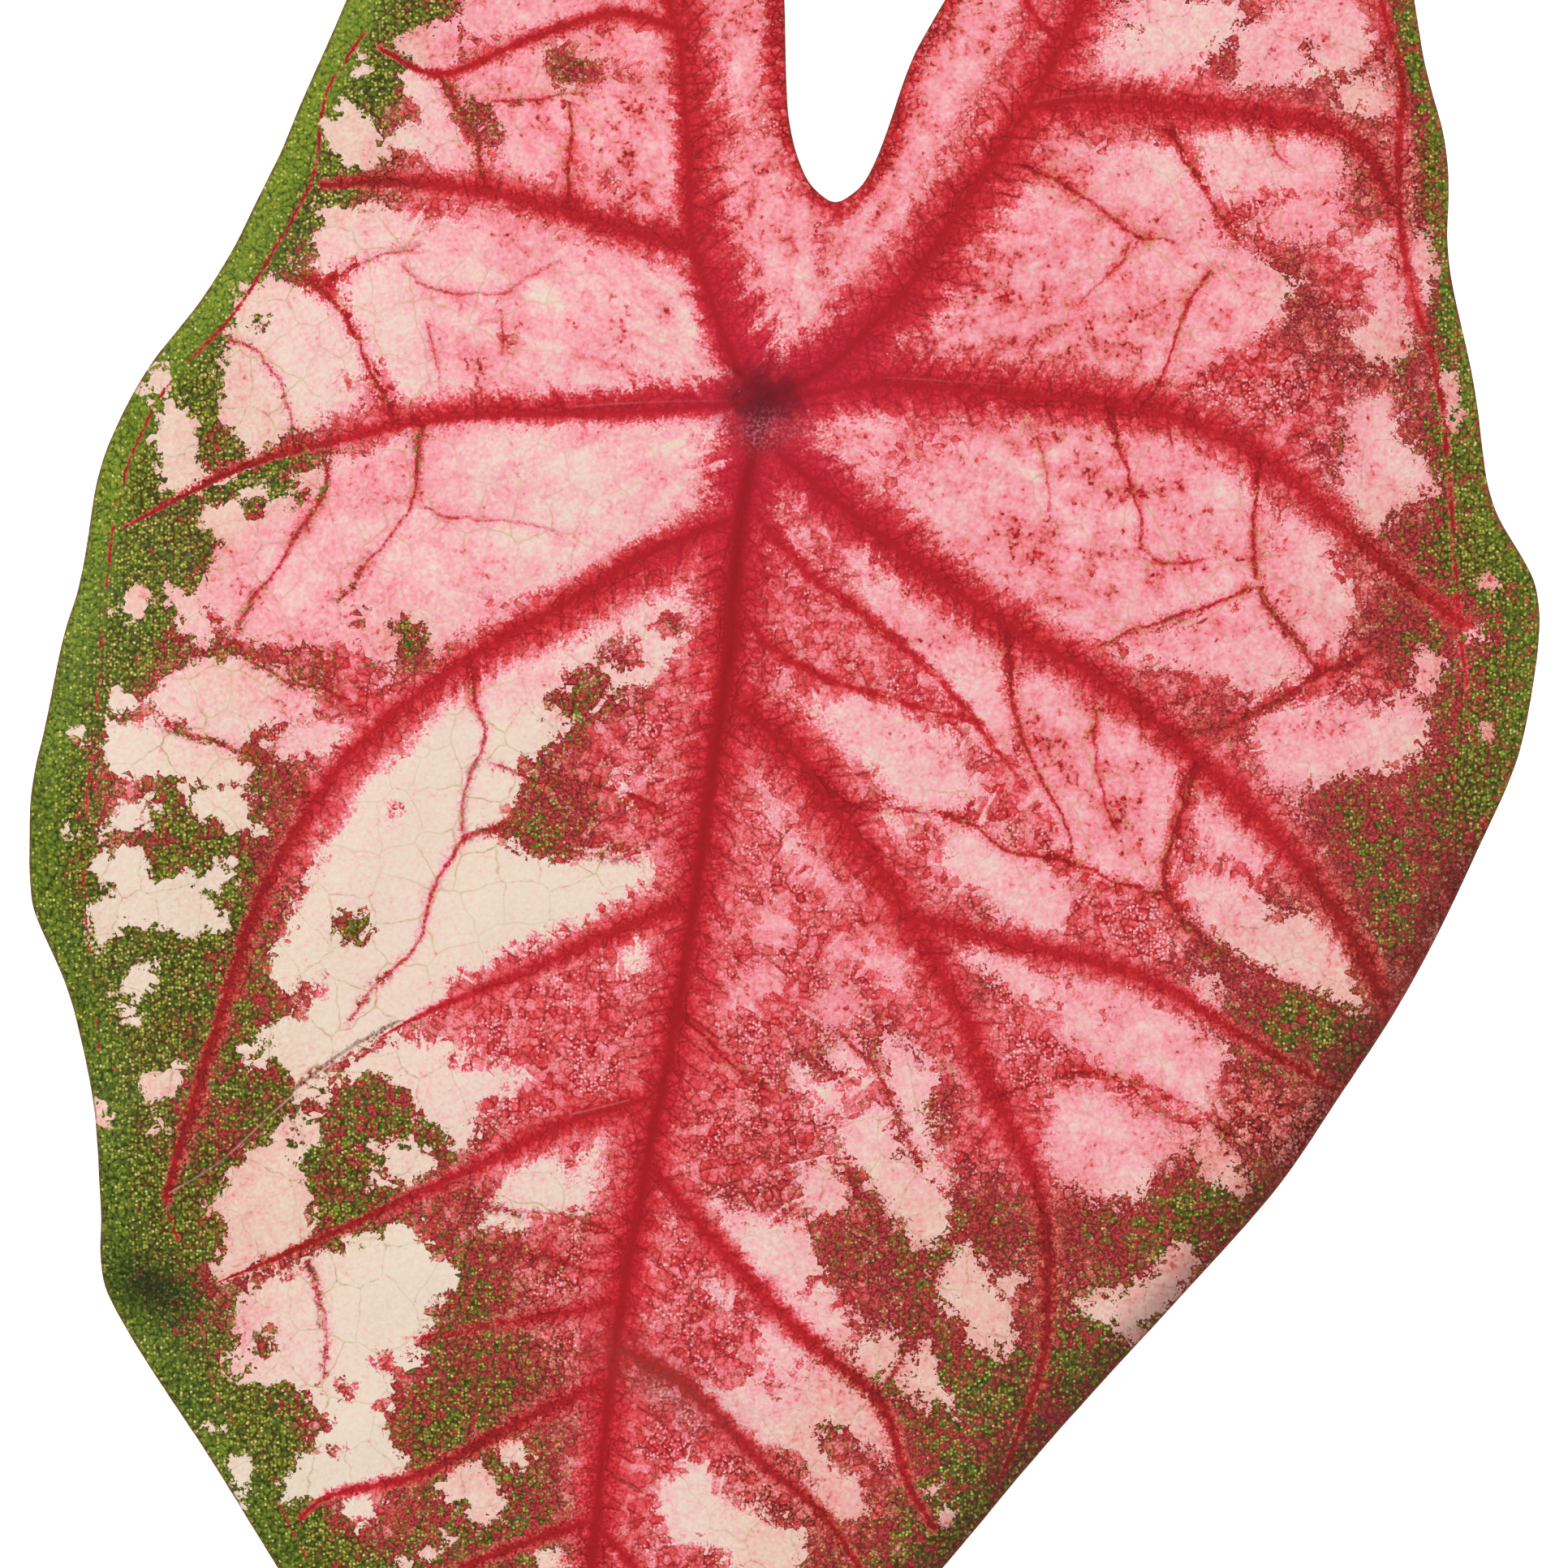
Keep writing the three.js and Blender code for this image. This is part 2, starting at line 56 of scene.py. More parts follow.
camera_data = bpy.data.cameras.new("camera")
camera_data.sensor_width = SENSOR_WIDTH
camera_data.lens = SENSOR_WIDTH * CAMERA_RISE / VIEW_WIDTH
camera = bpy.data.objects.new("camera", camera_data)
camera.location = VIEW_MIDDLE + Vector((0, 0, CAMERA_RISE))
bpy.context.scene.collection.objects.link(camera)
bpy.context.scene.camera = camera

# ---------------------------------------------------------------------------------------------------
# Leaf blade. One sheet of soft tissue, grown in one piece with its ribs: it bulges up a little between
# them, waves at its margin and rests on the surface with its tip and lobes. Red sap follows the ribs,
# green fills the ground and the margin, and between them lie torn pale fields without any green.

# Places on the blade are in millimetres from the hub, where the ribs meet over the stalk.
STALK_COLLAR = 3.5
stalk_low, stalk_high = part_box("petiole")
HUB = np.array([(stalk_low[0] + stalk_high[0]) / 2 / MM, stalk_low[1] / MM + STALK_COLLAR])

# The sheet, its droop and puckers, its thinner edge and the net underneath.
LAMINA = 0.8
HUB_LIFT = 18
HUB_RADIUS = 4.5
HUB_DEPTH = 2.8
HUB_SLOPE = 3
SIDE_DROOP = 0.0017
TIP_DROOP = 0.00045
LOBE_DROOP = 0.00215
PUCKER = 1.5
PUCKER_REACH = 9
RIB_TAPER = 0.72
RIB_GROOVE = 0.35
REST_BLEND = 0.5
EDGE_SHARE = 0.6
EDGE_REACH = 2.5
NET_WIDTH = 1.4
NET_DEPTH = 0.7
NET_TAPER = 0.4

# The rims of green and of brown: how wide they are and how strong, and where the green one turns brown.
RIM_WIDTH = 4.8
RIM_ADDED_LEFT = 7.2
RIM_ADDED_LOW = 4.2
RIM_STRENGTH = 1.2
RIM_EDGE = 1.6
BROWN_WIDTH = 7
BROWN_EDGE = 1.5
BROWN_FROM = -62
NOTCH_X = 12
NOTCH_Y = 15
NOTCH_REACH = 28

# How finely ribs and veins are followed, what is left of them at their ends, and distances out of reach.
ROUTE_STEP = 1.5
LINE_STEP = 1
CORE_AT_END = 0.55
VEIN_AT_END = 0.4
RED_AT_END = 0.02
RUN_APART = 100
NEARBY_LINES = 12
NO_HALO = 9.0
FAR = 30

# Waves of the margin: place, reach, and rise above or fall below the even droop.
MARGIN_WAVES = [
    (-84, -12, 15, -3), (-90, -52, 17, 4.5), (-86, -76, 12, -4.3), (-81, -95, 9, 2.2), (-80, -110, 9, -2.8),
    (-66, -132, 14, 2.6), (-46, -167, 14, -1.4), (-27, -197, 14, -1.4), (10, -157, 16, 1.8),
    (44, -118, 17, -3.5), (66, -92, 13, 1.6), (85, -62, 15, -5.2), (95, -30, 13, 4.2), (88, -2, 14, -3.4),
    (84, 26, 13, 3.6), (80, 54, 14, 0.8), (77, 66, 17, 2.2), (58, 88, 19, 3.5), (-22, 91, 14, -1.8),
    (-52, 46, 13, 3.2), (-62, 24, 12, -2), (-73, 7, 11, 1.6), (3, 44, 10, -1.8), (17, 40, 10, -1.8),
    (30, 64, 11, 1.6), (0, 68, 11, 1.6),
]

# Ribs from root to end: width and depth of the ridge, half width of the dark line on the upper side,
# reach of the red on the rib's left and right as it runs, how much of that is gone at the end, and the
# route.
RIBS = [
    (4.2, 2.6, 1.4, 5.2, 5, 0.35, [
        (0, 0), (-1.2, -6), (-2.7, -14), (-3.4, -22), (-4, -30), (-6.2, -45), (-8.2, -60), (-10.8, -76),
        (-14, -92), (-17, -108), (-19.2, -124), (-20.8, -140), (-22.8, -158), (-25.2, -182), (-26.4, -193)]),
    (3.6, 2.3, 0.75, 2.2, 6, 0.5, [
        (0, 0), (-3.5, 5), (-5.5, 10), (-7.2, 15), (-8.5, 19), (-9, 25), (-9.2, 32), (-9.7, 39),
        (-10.4, 45), (-13, 54), (-15.5, 60), (-18.5, 68), (-20, 76), (-20.5, 83)]),
    (3.6, 2.3, 0.85, 4.8, 6, 0.5, [
        (0, 0), (6, 3), (10, 6), (13.5, 9.5), (17, 13), (20.5, 18), (23.5, 23), (29.5, 31.5), (34, 39),
        (38.5, 48), (41, 54), (44.5, 62), (48.5, 70), (52, 78), (53.5, 84)]),
    (2.6, 1.6, 0.36, 1.3, 3.9, 0.85, [
        (0, 0), (-9, -0.7), (-19, -1.3), (-38, -1.8), (-49, -4), (-64, -8), (-78.5, -15)]),
    (2.5, 1.5, 0.5, 4.0, 2.1, 0.65, [
        (-3.2, -14), (-14, -18.5), (-24, -24.5), (-34, -30), (-44, -37), (-51, -43.5), (-56.5, -51),
        (-62, -61), (-65.5, -71), (-69, -82), (-73.7, -97.5)]),
    (2.3, 1.4, 0.3, 2.8, 2.4, 1.7, [
        (-8.2, -60.5), (-19, -65), (-29, -69.5), (-43, -75.5), (-52, -81), (-60, -87.5), (-67, -94),
        (-73.5, -98)]),
    (2.2, 1.3, 0.3, 2.8, 2.6, 1.0, [
        (-13.5, -85), (-24, -88), (-34, -93), (-49, -100), (-59, -104.5), (-69.5, -109)]),
    (1.4, 0.9, 0.15, 1.9, 1.9, 0.8, [(-17.5, -110), (-30, -112.5), (-44, -115)]),
    (1.9, 1.1, 0.2, 2.3, 2.3, 0.8, [(-19.5, -120), (-32, -126), (-42, -131.5), (-54, -134.5), (-57, -137)]),
    (1.7, 1, 0.28, 1.65, 1.87, 0.6, [(-20.5, -137), (-32, -141), (-44, -147), (-49, -153)]),
    (1.4, 0.8, 0.24, 1.54, 1.54, 0.6, [(-21.2, -146), (-34, -154), (-42, -166)]),
    (1.2, 0.7, 0.24, 1.32, 1.32, 0.6, [(-22.8, -158), (-33, -167), (-36.5, -173)]),
    (2.6, 1.6, 0.5, 5, 4, 0.65, [
        (0, 0), (6, 1), (14, 2.2), (28, 1.2), (43, -0.3), (53, -2.5), (62, -7), (70, -14), (78, -21),
        (86, -27)]),
    (2.7, 1.7, 0.6, 4, 3.8, 0.5, [
        (-1, -3), (4, -8), (16, -17.5), (31, -28), (41, -33.5), (50, -40.5), (60, -50), (68.5, -59.5),
        (73, -66.5), (76.5, -73.5)]),
    (2.6, 1.6, 0.45, 4.4, 4.8, 0.9, [
        (-4.7, -36), (3, -42), (9, -50), (18, -63), (23.5, -73), (28.5, -85), (34, -97.5), (35, -110),
        (34.3, -118), (29, -132.5)]),
    (2.2, 1.3, 0.28, 1.98, 2.2, 0.6, [
        (-14, -93), (-4, -105), (7, -116), (14.5, -122.5), (18, -133), (21, -138)]),
    (1.9, 1.1, 0.24, 1.76, 1.76, 0.6, [(-17, -116), (-10, -120), (0, -130), (7, -136), (12, -143)]),
    (1.7, 1, 0.32, 1.65, 1.65, 0.6, [(-20.2, -138), (-14, -145), (-4, -158)]),
    (1.4, 0.8, 0.24, 1.43, 1.43, 0.6, [(-22, -152), (-16, -158), (-7, -169)]),
    (1.2, 0.7, 0.24, 1.32, 1.32, 0.6, [(-23.5, -165), (-15, -176)]),
    (1.8, 1, 0.2, 2.4, 2.4, 0.6, [(18, -63), (30, -66), (46, -70), (58, -77), (70, -84)]),
    (1.3, 0.8, 0.2, 1.43, 1.32, 0.6, [(-2.4, -12), (5, -20.5), (16, -29), (26, -39), (31, -46)]),
    (1.2, 0.7, 0.2, 1.21, 1.21, 0.6, [(-3.5, -24), (0, -29), (6, -33), (12, -35), (18, -37), (26, -39)]),
    (2.2, 1.3, 0.36, 2.1, 3.2, 0.6, [(-8.5, 19), (-17, 21), (-30, 25), (-44, 27), (-54, 26.8)]),
    (1.7, 1, 0.32, 1.32, 1.32, 0.6, [(-10.6, 46), (-18, 47.8), (-29, 44.5), (-40, 40.3), (-47, 43.5)]),
    (1.4, 0.9, 0.28, 1.54, 1.54, 0.6, [(-12.5, 52), (-28, 57.5), (-41, 60)]),
    (1.2, 0.7, 0.24, 1.32, 1.32, 0.6, [(-18, 67), (-29.5, 78)]),
    (1.2, 0.7, 0.24, 1.32, 1.32, 0.6, [(-14.5, 58), (-8, 63), (-4, 70)]),
    (2.2, 1.3, 0.36, 3.74, 4.62, 0.6, [(32, 36), (37, 37), (54, 36.4), (66, 35.2), (73, 32.5), (77.2, 25)]),
    (1.6, 1, 0.32, 1.76, 1.76, 0.6, [(40.2, 52), (50, 54.5), (60, 56), (74, 55)]),
    (1.3, 0.8, 0.24, 1.54, 1.54, 0.6, [(46.5, 66), (54, 70), (68, 74)]),
    (1.2, 0.7, 0.24, 1.32, 1.32, 0.6, [(36.4, 44), (32, 50), (31, 56)]),
    (1.3, 0.7, 0.03, 0.4, 0.4, 0.3, [
        (-48.5, 46), (-53.5, 38), (-55.2, 28), (-59.5, 20), (-65, 11), (-74, 1), (-79, -10), (-81.2, -26),
        (-82, -38), (-83.5, -55), (-82.8, -71), (-82, -80)]),
    (1.3, 0.7, 0.04, 0.38, 0.38, 0.3, [
        (-73.5, -99), (-70, -109), (-68, -120), (-62, -131), (-55.5, -143.2)]),
    (1.3, 0.7, 0.14, 0.9, 0.9, 0.5, [
        (76, 50), (78.7, 40), (78, 30), (79, 17), (83.2, 3), (84.7, -11), (85.5, -26), (87.8, -44)]),
    (1.3, 0.7, -0.2, 0.05, 0.05, 0.3, [
        (87.8, -44), (86.5, -56), (80, -68), (70, -83), (58, -99), (42, -117)]),
]

# Thin veins of the net between the ribs: strength of their red, and the route. Below 0 the line is a
# crease that catches the light.
VEINS = [
    (-1.0, [(-44, -75.7), (-52, -80.3), (-60, -86.8), (-67, -93.2), (-73.5, -97.2)]),
    (-0.45, [(14, 3.1), (24, 2.5), (34, 1.7)]),
    (-0.5, [(33, 36.9), (40, 38.0), (47, 37.8)]),
    (-0.5, [(-25, -0.6), (-14, 0.0), (-4, 0.2)]),
    (-0.7, [(-24, -87.2), (-20, -86.2), (-16, -85.2)]),
    (-0.5, [(-39, -95.6), (-35, -94.4), (-32, -94.6)]),
    (1.0, [(-60, 17), (-54, 13.5), (-49.5, 8), (-48.5, 5), (-45, -1.5)]),
    (0.6, [(-53.5, 14.5), (-49.5, 17), (-45, 18.5), (-41, 20)]),
    (0.5, [(-44, 17), (-42, 14.5), (-38, 13.5), (-33, 13), (-29, 15), (-24, 17.5)]),
    (0.5, [(-32.5, 12.5), (-31.8, 9), (-31.5, 5.5)]),
    (0.4, [(-41, 10), (-40, 6), (-39.5, 1)]),
    (1.0, [(-39.5, 40), (-37, 36), (-35, 31), (-34, 26.5)]),
    (0.6, [(-34, 37), (-29, 37), (-24, 37.5), (-21, 38)]),
    (0.8, [(-24, 37), (-23.7, 32), (-24, 27), (-23.5, 23.5)]),
    (0.7, [(-66, 8), (-62, 6), (-59.5, 2.5), (-58, -2), (-57, -4)]),
    (0.7, [(-41.5, -2.5), (-42, -7), (-42.5, -11.5), (-45, -15), (-48, -19), (-51, -23.5), (-53.5, -24)]),
    (0.5, [(-42, -12.5), (-38, -14), (-32, -14.5), (-28, -15), (-24, -16.5)]),
    (0.8, [(-53.5, -7), (-53.7, -11), (-56, -15), (-59, -19), (-62, -23.5), (-64, -27), (-65.7, -30)]),
    (0.7, [(-65.7, -30), (-70, -31), (-74, -33.5)]),
    (0.7, [(-65.7, -30), (-62, -32), (-58, -34), (-54, -35), (-50, -37)]),
    (0.8, [(-75, -38.5), (-71, -40), (-67, -41.5), (-63, -43.5), (-60, -46), (-56, -48)]),
    (0.9, [(-35.2, -33), (-35, -37), (-34.3, -41), (-35.5, -45), (-36.5, -49), (-36.5, -52.5)]),
    (1.0, [
        (-30, -51), (-34, -52.5), (-36.5, -53.5), (-38.5, -56), (-40.5, -60), (-42, -65), (-45, -69),
        (-48, -72), (-51, -76)]),
    (0.8, [(-56, -105), (-54.5, -109), (-54, -114), (-53.8, -120)]),
    (0.8, [(49.5, 34.5), (51.5, 30), (54, 26), (57, 22), (59, 20.5)]),
    (0.7, [(32, 29), (37, 27), (41, 24), (45.5, 21), (50, 20), (51.5, 18.5)]),
    (0.5, [(45.5, 21), (44, 17), (40.5, 14.5), (38, 11.5)]),
    (0.8, [(56, 17), (53, 14), (51.5, 11), (50, 7), (48.5, 3), (46.5, 0)]),
    (0.5, [(62.5, 34.5), (63, 31), (65, 28.5)]),
    (0.7, [(42.5, -0.5), (43.5, -5), (45, -10), (46.2, -14), (46.5, -18), (49, -19.3), (55, -19)]),
    (0.5, [(33.5, -3), (34.5, -9), (35, -14)]),
    (0.9, [(60.5, -7), (60.2, -12), (60.5, -18), (61, -23), (63.5, -26.5), (66.5, -30), (68, -33)]),
    (0.8, [(60.5, -22.5), (56, -24), (51, -26), (46, -27.5), (41, -29.5)]),
    (0.8, [(68, -33), (65, -35), (60, -38), (55, -40), (51, -40)]),
    (0.8, [(68, -33), (71, -32.5), (76, -30), (80, -30)]),
    (0.9, [(30, -28), (30, -33), (31, -38), (33, -44), (35, -48), (37, -52), (37.5, -55.5)]),
    (0.8, [(22, -50), (26, -52), (30, -54.5), (37, -56), (41, -58), (46, -59.5), (49.5, -60)]),
    (0.6, [(6, -45.5), (11, -49), (19, -50), (22, -50)]),
    (1.0, [
        (53.5, -44), (51.5, -49), (50, -54), (49.5, -60), (51.5, -63), (55, -66.5), (59, -69), (62, -70.5),
        (66, -71.5)]),
    (0.6, [(41, -37), (40.5, -43), (42, -49), (44, -53)]),
    (0.6, [(9.5, -77), (13.5, -81.5), (16, -86), (18, -91), (19, -94)]),
    (0.7, [(10, -93), (12, -97), (15, -102), (18, -106), (20.5, -109)]),
    (0.8, [(24, -100), (21, -107), (18, -114), (15.5, -120), (14, -122)]),
    (0.6, [(-11, -74.5), (-8, -77), (-4, -81), (1, -84)]),
    (0.7, [(-34, -44), (-28, -46), (-20, -47), (-12, -50)]),
    (0.7, [(-30, -54), (-22, -55), (-14, -56)]),
    (0.6, [(-38, -97), (-30, -99), (-22, -100), (-17, -103)]),
    (0.6, [(-34, -103), (-26, -105), (-19, -107)]),
    (0.5, [(28, -85), (38, -82), (48, -84), (58, -90)]),
]

# Pale fields without green, as torn outlines.
PALE_FIELDS = [
    [(-44.5, 45), (-38.5, 46.5), (-37.5, 42.5), (-39.5, 40), (-42.5, 41), (-44, 42.5)],
    [(-54, 34), (-51.5, 37), (-48.5, 36), (-47, 32.5), (-47.5, 30), (-50, 28.5), (-53, 30.5)],
    [
        (-45.5, 40.5), (-43, 41.5), (-39.5, 39), (-38, 36), (-36, 32), (-35, 29.5), (-39, 28), (-41, 30),
        (-47, 31.5), (-46, 33.5), (-42, 34.5), (-43.5, 37.5)],
    [
        (-54.5, 24.5), (-49, 24), (-44, 23.8), (-42, 21), (-44, 19), (-50, 17), (-54, 16), (-58, 17),
        (-55, 18), (-54, 21)],
    [
        (-64, 14), (-60, 15.5), (-54, 13), (-50, 8), (-48, 3), (-50, 0), (-57, -3.5), (-61, -5), (-65, -5),
        (-66, 0), (-66.5, 6), (-65, 11)],
    [
        (-75.5, -4), (-72.5, 1), (-70, -2), (-69, -8), (-67, -9), (-64, -7), (-62, -4.5), (-61, -6),
        (-64, -9), (-68, -10.5), (-71.5, -11.5), (-73.5, -10), (-74.5, -7)],
    [(-77, 1.5), (-75, 4.5), (-72.5, 6.5), (-72, 5.5), (-73, 3.5), (-72.5, 2), (-74.5, 0), (-76, 1)],
    [
        (-49, 17), (-42, 21), (-38, 22.5), (-34, 23), (-24, 20), (-14, 17), (-9, 15), (-7, 10), (-5, 4),
        (-6, 1), (-24, 0.5), (-42, -0.5), (-46, 2), (-48, 8), (-52, 13)],
    [
        (-64, -10), (-54, -7.5), (-44, -4.5), (-34, -3), (-19, -2.5), (-5, -2), (-3.5, -6), (-6, -12),
        (-14, -16), (-24, -21), (-34, -27), (-40, -30), (-43, -26.5), (-46, -33), (-50, -30), (-53, -28.5),
        (-58, -29), (-64, -29), (-69.5, -24), (-68, -20), (-66, -18), (-69, -14)],
    [
        (-37, 40), (-30, 43.5), (-22, 45.5), (-14, 46), (-10, 43), (-9.5, 35), (-9.5, 27), (-10, 22),
        (-16, 23), (-24, 25.5), (-30, 27.5), (-34, 30), (-35, 35), (-36.5, 38)],
    [
        (-37, 50), (-38, 60), (-33, 72), (-25, 80), (-19, 76), (-16, 66), (-14, 56), (-15, 49), (-20, 48.5),
        (-24, 47), (-30, 45), (-35, 44), (-37.5, 46)],
    [
        (-6.5, 48), (-8, 60), (-6, 70), (-3, 66), (-1, 58), (-0.5, 50), (-0.5, 40), (-1, 34), (-3.5, 33.5),
        (-5.5, 36), (-7, 37), (-6, 42)],
    [
        (-4, 31), (2, 32), (5, 27), (7, 24), (6, 20), (7, 15), (8, 10), (4, 6), (0, 4), (-2, 7),
        (-2.5, 13), (-1, 17), (-4, 19), (-4.5, 25)],
    [
        (9, 21), (12, 24), (15, 29), (17, 35), (19, 42), (22, 47), (26, 50), (30, 58), (36, 68), (41, 76),
        (44, 74), (41, 66), (37, 57), (31, 50), (30, 45), (27, 40), (24, 35), (21, 29), (19, 24), (16, 20),
        (12, 16), (9, 13), (7, 16)],
    [
        (18, 10), (26, 20), (30, 27), (36, 32), (41, 31), (46, 32), (50, 32), (55, 26), (56, 20), (60, 18),
        (66, 15), (64, 10), (56, 6), (50, 3), (44, 3), (36, 3.5), (26, 5), (18, 5.5)],
    [
        (51.5, 33), (56, 34.5), (63, 34.5), (68, 33.5), (71, 31), (71.5, 28), (69, 26), (62, 26),
        (58, 24.5), (55, 27)],
    [(61, 23), (67, 26), (71, 24), (71, 22), (67, 20), (62, 20.5)],
    [(70, 19), (76, 22.5), (78, 21), (75, 18.5), (77.5, 16), (76, 15), (71, 18)],
    [(79.5, 20), (81, 21), (82.8, 17), (81.5, 13), (80.5, 13.5)],
    [(75, 14.5), (78, 15), (80, 8), (78.5, 5.5), (76, 4.5), (71.5, 8.5), (75, 12)],
    [(83, 4.5), (84.5, 5), (86.2, -1), (84, -3), (83.5, 0)],
    [
        (71, -1), (77, 2), (78.5, -4), (81, -6), (83, -10), (78, -12.5), (75.5, -16), (73, -16.5),
        (71, -10), (72.5, -4)],
    [
        (40, 44), (42, 48), (46, 50), (60, 50), (59, 47), (56, 43), (52, 41.5), (51, 39), (47, 39),
        (40.5, 40.5)],
    [
        (58, 45), (62, 48), (66, 50), (72, 50), (75, 47), (75, 44), (72, 40.5), (64, 39.5), (57.5, 38),
        (58.5, 42)],
    [(71, 39), (75, 40.5), (78, 37), (76, 35.5), (70, 35.5)],
    [(46, 51), (60, 51), (70, 51), (66, 54), (55, 53), (47, 52)],
    [(49, 57), (58, 59), (68, 59), (66, 66), (60, 69), (52, 66)],
    [(54, 74), (62, 77), (66, 79), (60, 86), (56, 84)],
    [
        (16, -10), (21, -6), (30, -3), (41, -2.5), (50, -4), (56, -7), (60, -10), (62, -14), (61, -20),
        (62, -26), (56, -25), (49, -27), (43, -30), (38, -29), (31, -25), (24, -20), (18, -15)],
    [(6, -2), (14, -1), (19, -4), (13, -6), (16, -9), (10, -9), (6, -6)],
    [
        (31, -33), (36, -33), (41, -36), (46, -40), (51, -44), (50, -50), (49, -58), (46, -59.5),
        (39, -56.5), (35, -51), (32.5, -45), (31, -39)],
    [(1.5, -15.5), (4.5, -15.5), (6, -18), (4.5, -19.5), (2.5, -18)],
    [
        (10, -19), (14, -17), (18, -19), (21, -22), (26, -28), (29, -32), (30, -36), (30.5, -40), (30, -42),
        (27, -41.5), (21, -34), (16, -28), (12, -24.5)],
    [
        (2, -36.5), (7, -37), (10, -35.5), (14, -36), (18, -38.5), (22, -41), (27, -47.5), (25, -48.5),
        (21, -50), (17, -49), (14, -46), (7, -40.5), (3.5, -39)],
    [
        (22.5, -52.5), (26, -51), (30, -54.5), (38, -59), (36, -65), (32, -66), (27, -60), (23, -58),
        (21, -56)],
    [(3, -54), (4.5, -53), (6.5, -56), (10, -60), (8, -60.5), (5, -58), (3.5, -57)],
    [(11, -66.5), (13.5, -65), (16, -67), (18, -68), (18, -70.5), (17.5, -73), (15, -71.5), (13, -69.5)],
    [(23, -65.5), (27, -66), (32, -68.5), (36, -71), (36, -75), (32, -73), (24.5, -68)],
    [
        (62, -18), (63, -15), (65, -14), (70, -16.5), (69.5, -19), (73.5, -24), (71, -28), (68, -30),
        (66, -29), (63, -25), (61.5, -22)],
    [
        (43, -32), (46, -29), (56, -25.5), (61, -24.5), (66, -30), (66.5, -33), (63, -35), (60, -36.5),
        (55, -33), (48, -32.5)],
    [
        (59.5, -40), (63, -38), (70, -37), (76, -38), (79, -35), (82, -38), (82, -43), (76, -45.5),
        (71, -46), (66, -47.5), (62, -45.5)],
    [(80, -30), (83, -30), (83.5, -32), (82, -35), (80, -34)],
    [(53, -50), (55, -48.5), (58, -51), (63, -55.5), (61, -57), (54, -54)],
    [
        (50.5, -58), (52, -57), (59, -59), (63, -63), (66, -62), (70, -65), (71.5, -67), (73, -72),
        (75, -74.5), (67, -71.5), (60, -69), (56, -66), (53, -63)],
    [
        (37, -71.5), (40, -70.5), (49, -74), (57, -79), (55, -85), (56, -87), (54, -88), (46, -83),
        (41, -80), (36, -77)],
    [
        (36, -84.5), (40, -83.5), (46, -87), (53, -90), (48, -94), (48, -96), (46, -98), (41, -97.5),
        (37, -95), (35, -92), (35, -88)],
    [(52, -90.5), (55, -90), (57.5, -92.5), (59.5, -95), (59, -97), (56.5, -97), (54, -94)],
    [
        (38.5, -110.5), (41, -109), (45, -109), (49, -106), (51, -103.5), (53, -103), (53.8, -105),
        (50, -111), (45.5, -115), (40, -112.5)],
    [
        (-6, -99.2), (-2, -99.5), (3, -100), (6, -103), (7.5, -106), (8.5, -110), (11, -112), (10.5, -115),
        (6, -114.5), (3, -112), (0, -109), (-1.5, -106), (-3.5, -103)],
    [(-1.5, -115), (1, -113), (3.5, -114), (5.5, -118), (4, -119.5), (1, -119)],
    [
        (-8, -119.5), (-6, -121), (-2, -120.5), (2, -122), (5, -119), (7, -117), (11, -120), (14, -124),
        (16, -127), (15.5, -129.5), (10, -125.5), (6, -125), (8, -129), (12, -133), (13, -136), (11, -137),
        (8, -136), (5, -129), (-2, -126.5), (-5, -124.5), (-7.5, -122)],
    [
        (-12.5, -132), (-9, -130), (-6, -132), (-4, -135), (1, -137), (5, -138), (5, -143), (-2, -144),
        (-6, -140.5), (-11, -139.5), (-12.5, -137)],
    [
        (8.5, -90), (11, -87), (15, -87), (17, -92), (22.5, -96), (23.5, -101), (22, -103.5), (18, -103),
        (16, -99), (11, -94)],
    [
        (13.5, -78), (15, -76.5), (18, -79), (21.5, -83), (19.5, -85), (21.5, -92), (22.5, -95), (20, -94),
        (17, -88), (16, -84)],
    [(8.5, -79), (10, -78), (13, -81), (12, -82.5), (9.5, -81)],
    [(5, -94), (7, -92.5), (9.5, -95), (10, -98), (7, -100), (5, -98)],
    [
        (23, -104), (25, -103), (29, -109), (31, -111), (30.8, -114), (29.5, -117), (26, -115), (22, -110),
        (21, -108)],
    [(18, -115.5), (20.5, -116), (22, -119), (24, -124), (22, -124.5), (19, -121.5), (16.5, -120.5)],
    [(10, -115), (15, -113.5), (17.5, -115), (17, -118), (15, -120.5), (12, -119)],
    [(-73.5, -22.5), (-69, -23), (-67, -27), (-68, -30), (-72, -28)],
    [
        (-71, -31.5), (-64, -30.5), (-58, -33), (-54, -36), (-56, -38), (-62, -40), (-64, -43), (-74, -38),
        (-75, -36)],
    [
        (-80.5, -38.5), (-74, -39), (-64, -43), (-61.5, -45), (-65, -47), (-69, -46.5), (-74, -45.5),
        (-79, -45.5), (-81, -45)],
    [(-61, -41.5), (-58, -40), (-52, -39), (-51, -41), (-53, -42.5), (-59, -43)],
    [(-70.5, -47), (-66, -46), (-62, -48.5), (-62.5, -51), (-61, -52.5), (-65, -53), (-70, -50)],
    [(-79, -49), (-75, -48.5), (-74, -50), (-76, -51.5), (-80, -53), (-80.5, -52)],
    [
        (-83, -57), (-79, -54), (-76, -55), (-75, -58), (-69, -58.5), (-67.5, -56), (-65.5, -56),
        (-65, -58), (-68, -61), (-66.5, -63), (-65, -65), (-71, -65.5), (-75, -64), (-79, -64.5),
        (-81.5, -67), (-82, -69), (-83.5, -65), (-83, -62), (-80.5, -59.5)],
    [(-78, -69), (-73.5, -68), (-74, -70), (-76.5, -73), (-80, -72.5)],
    [
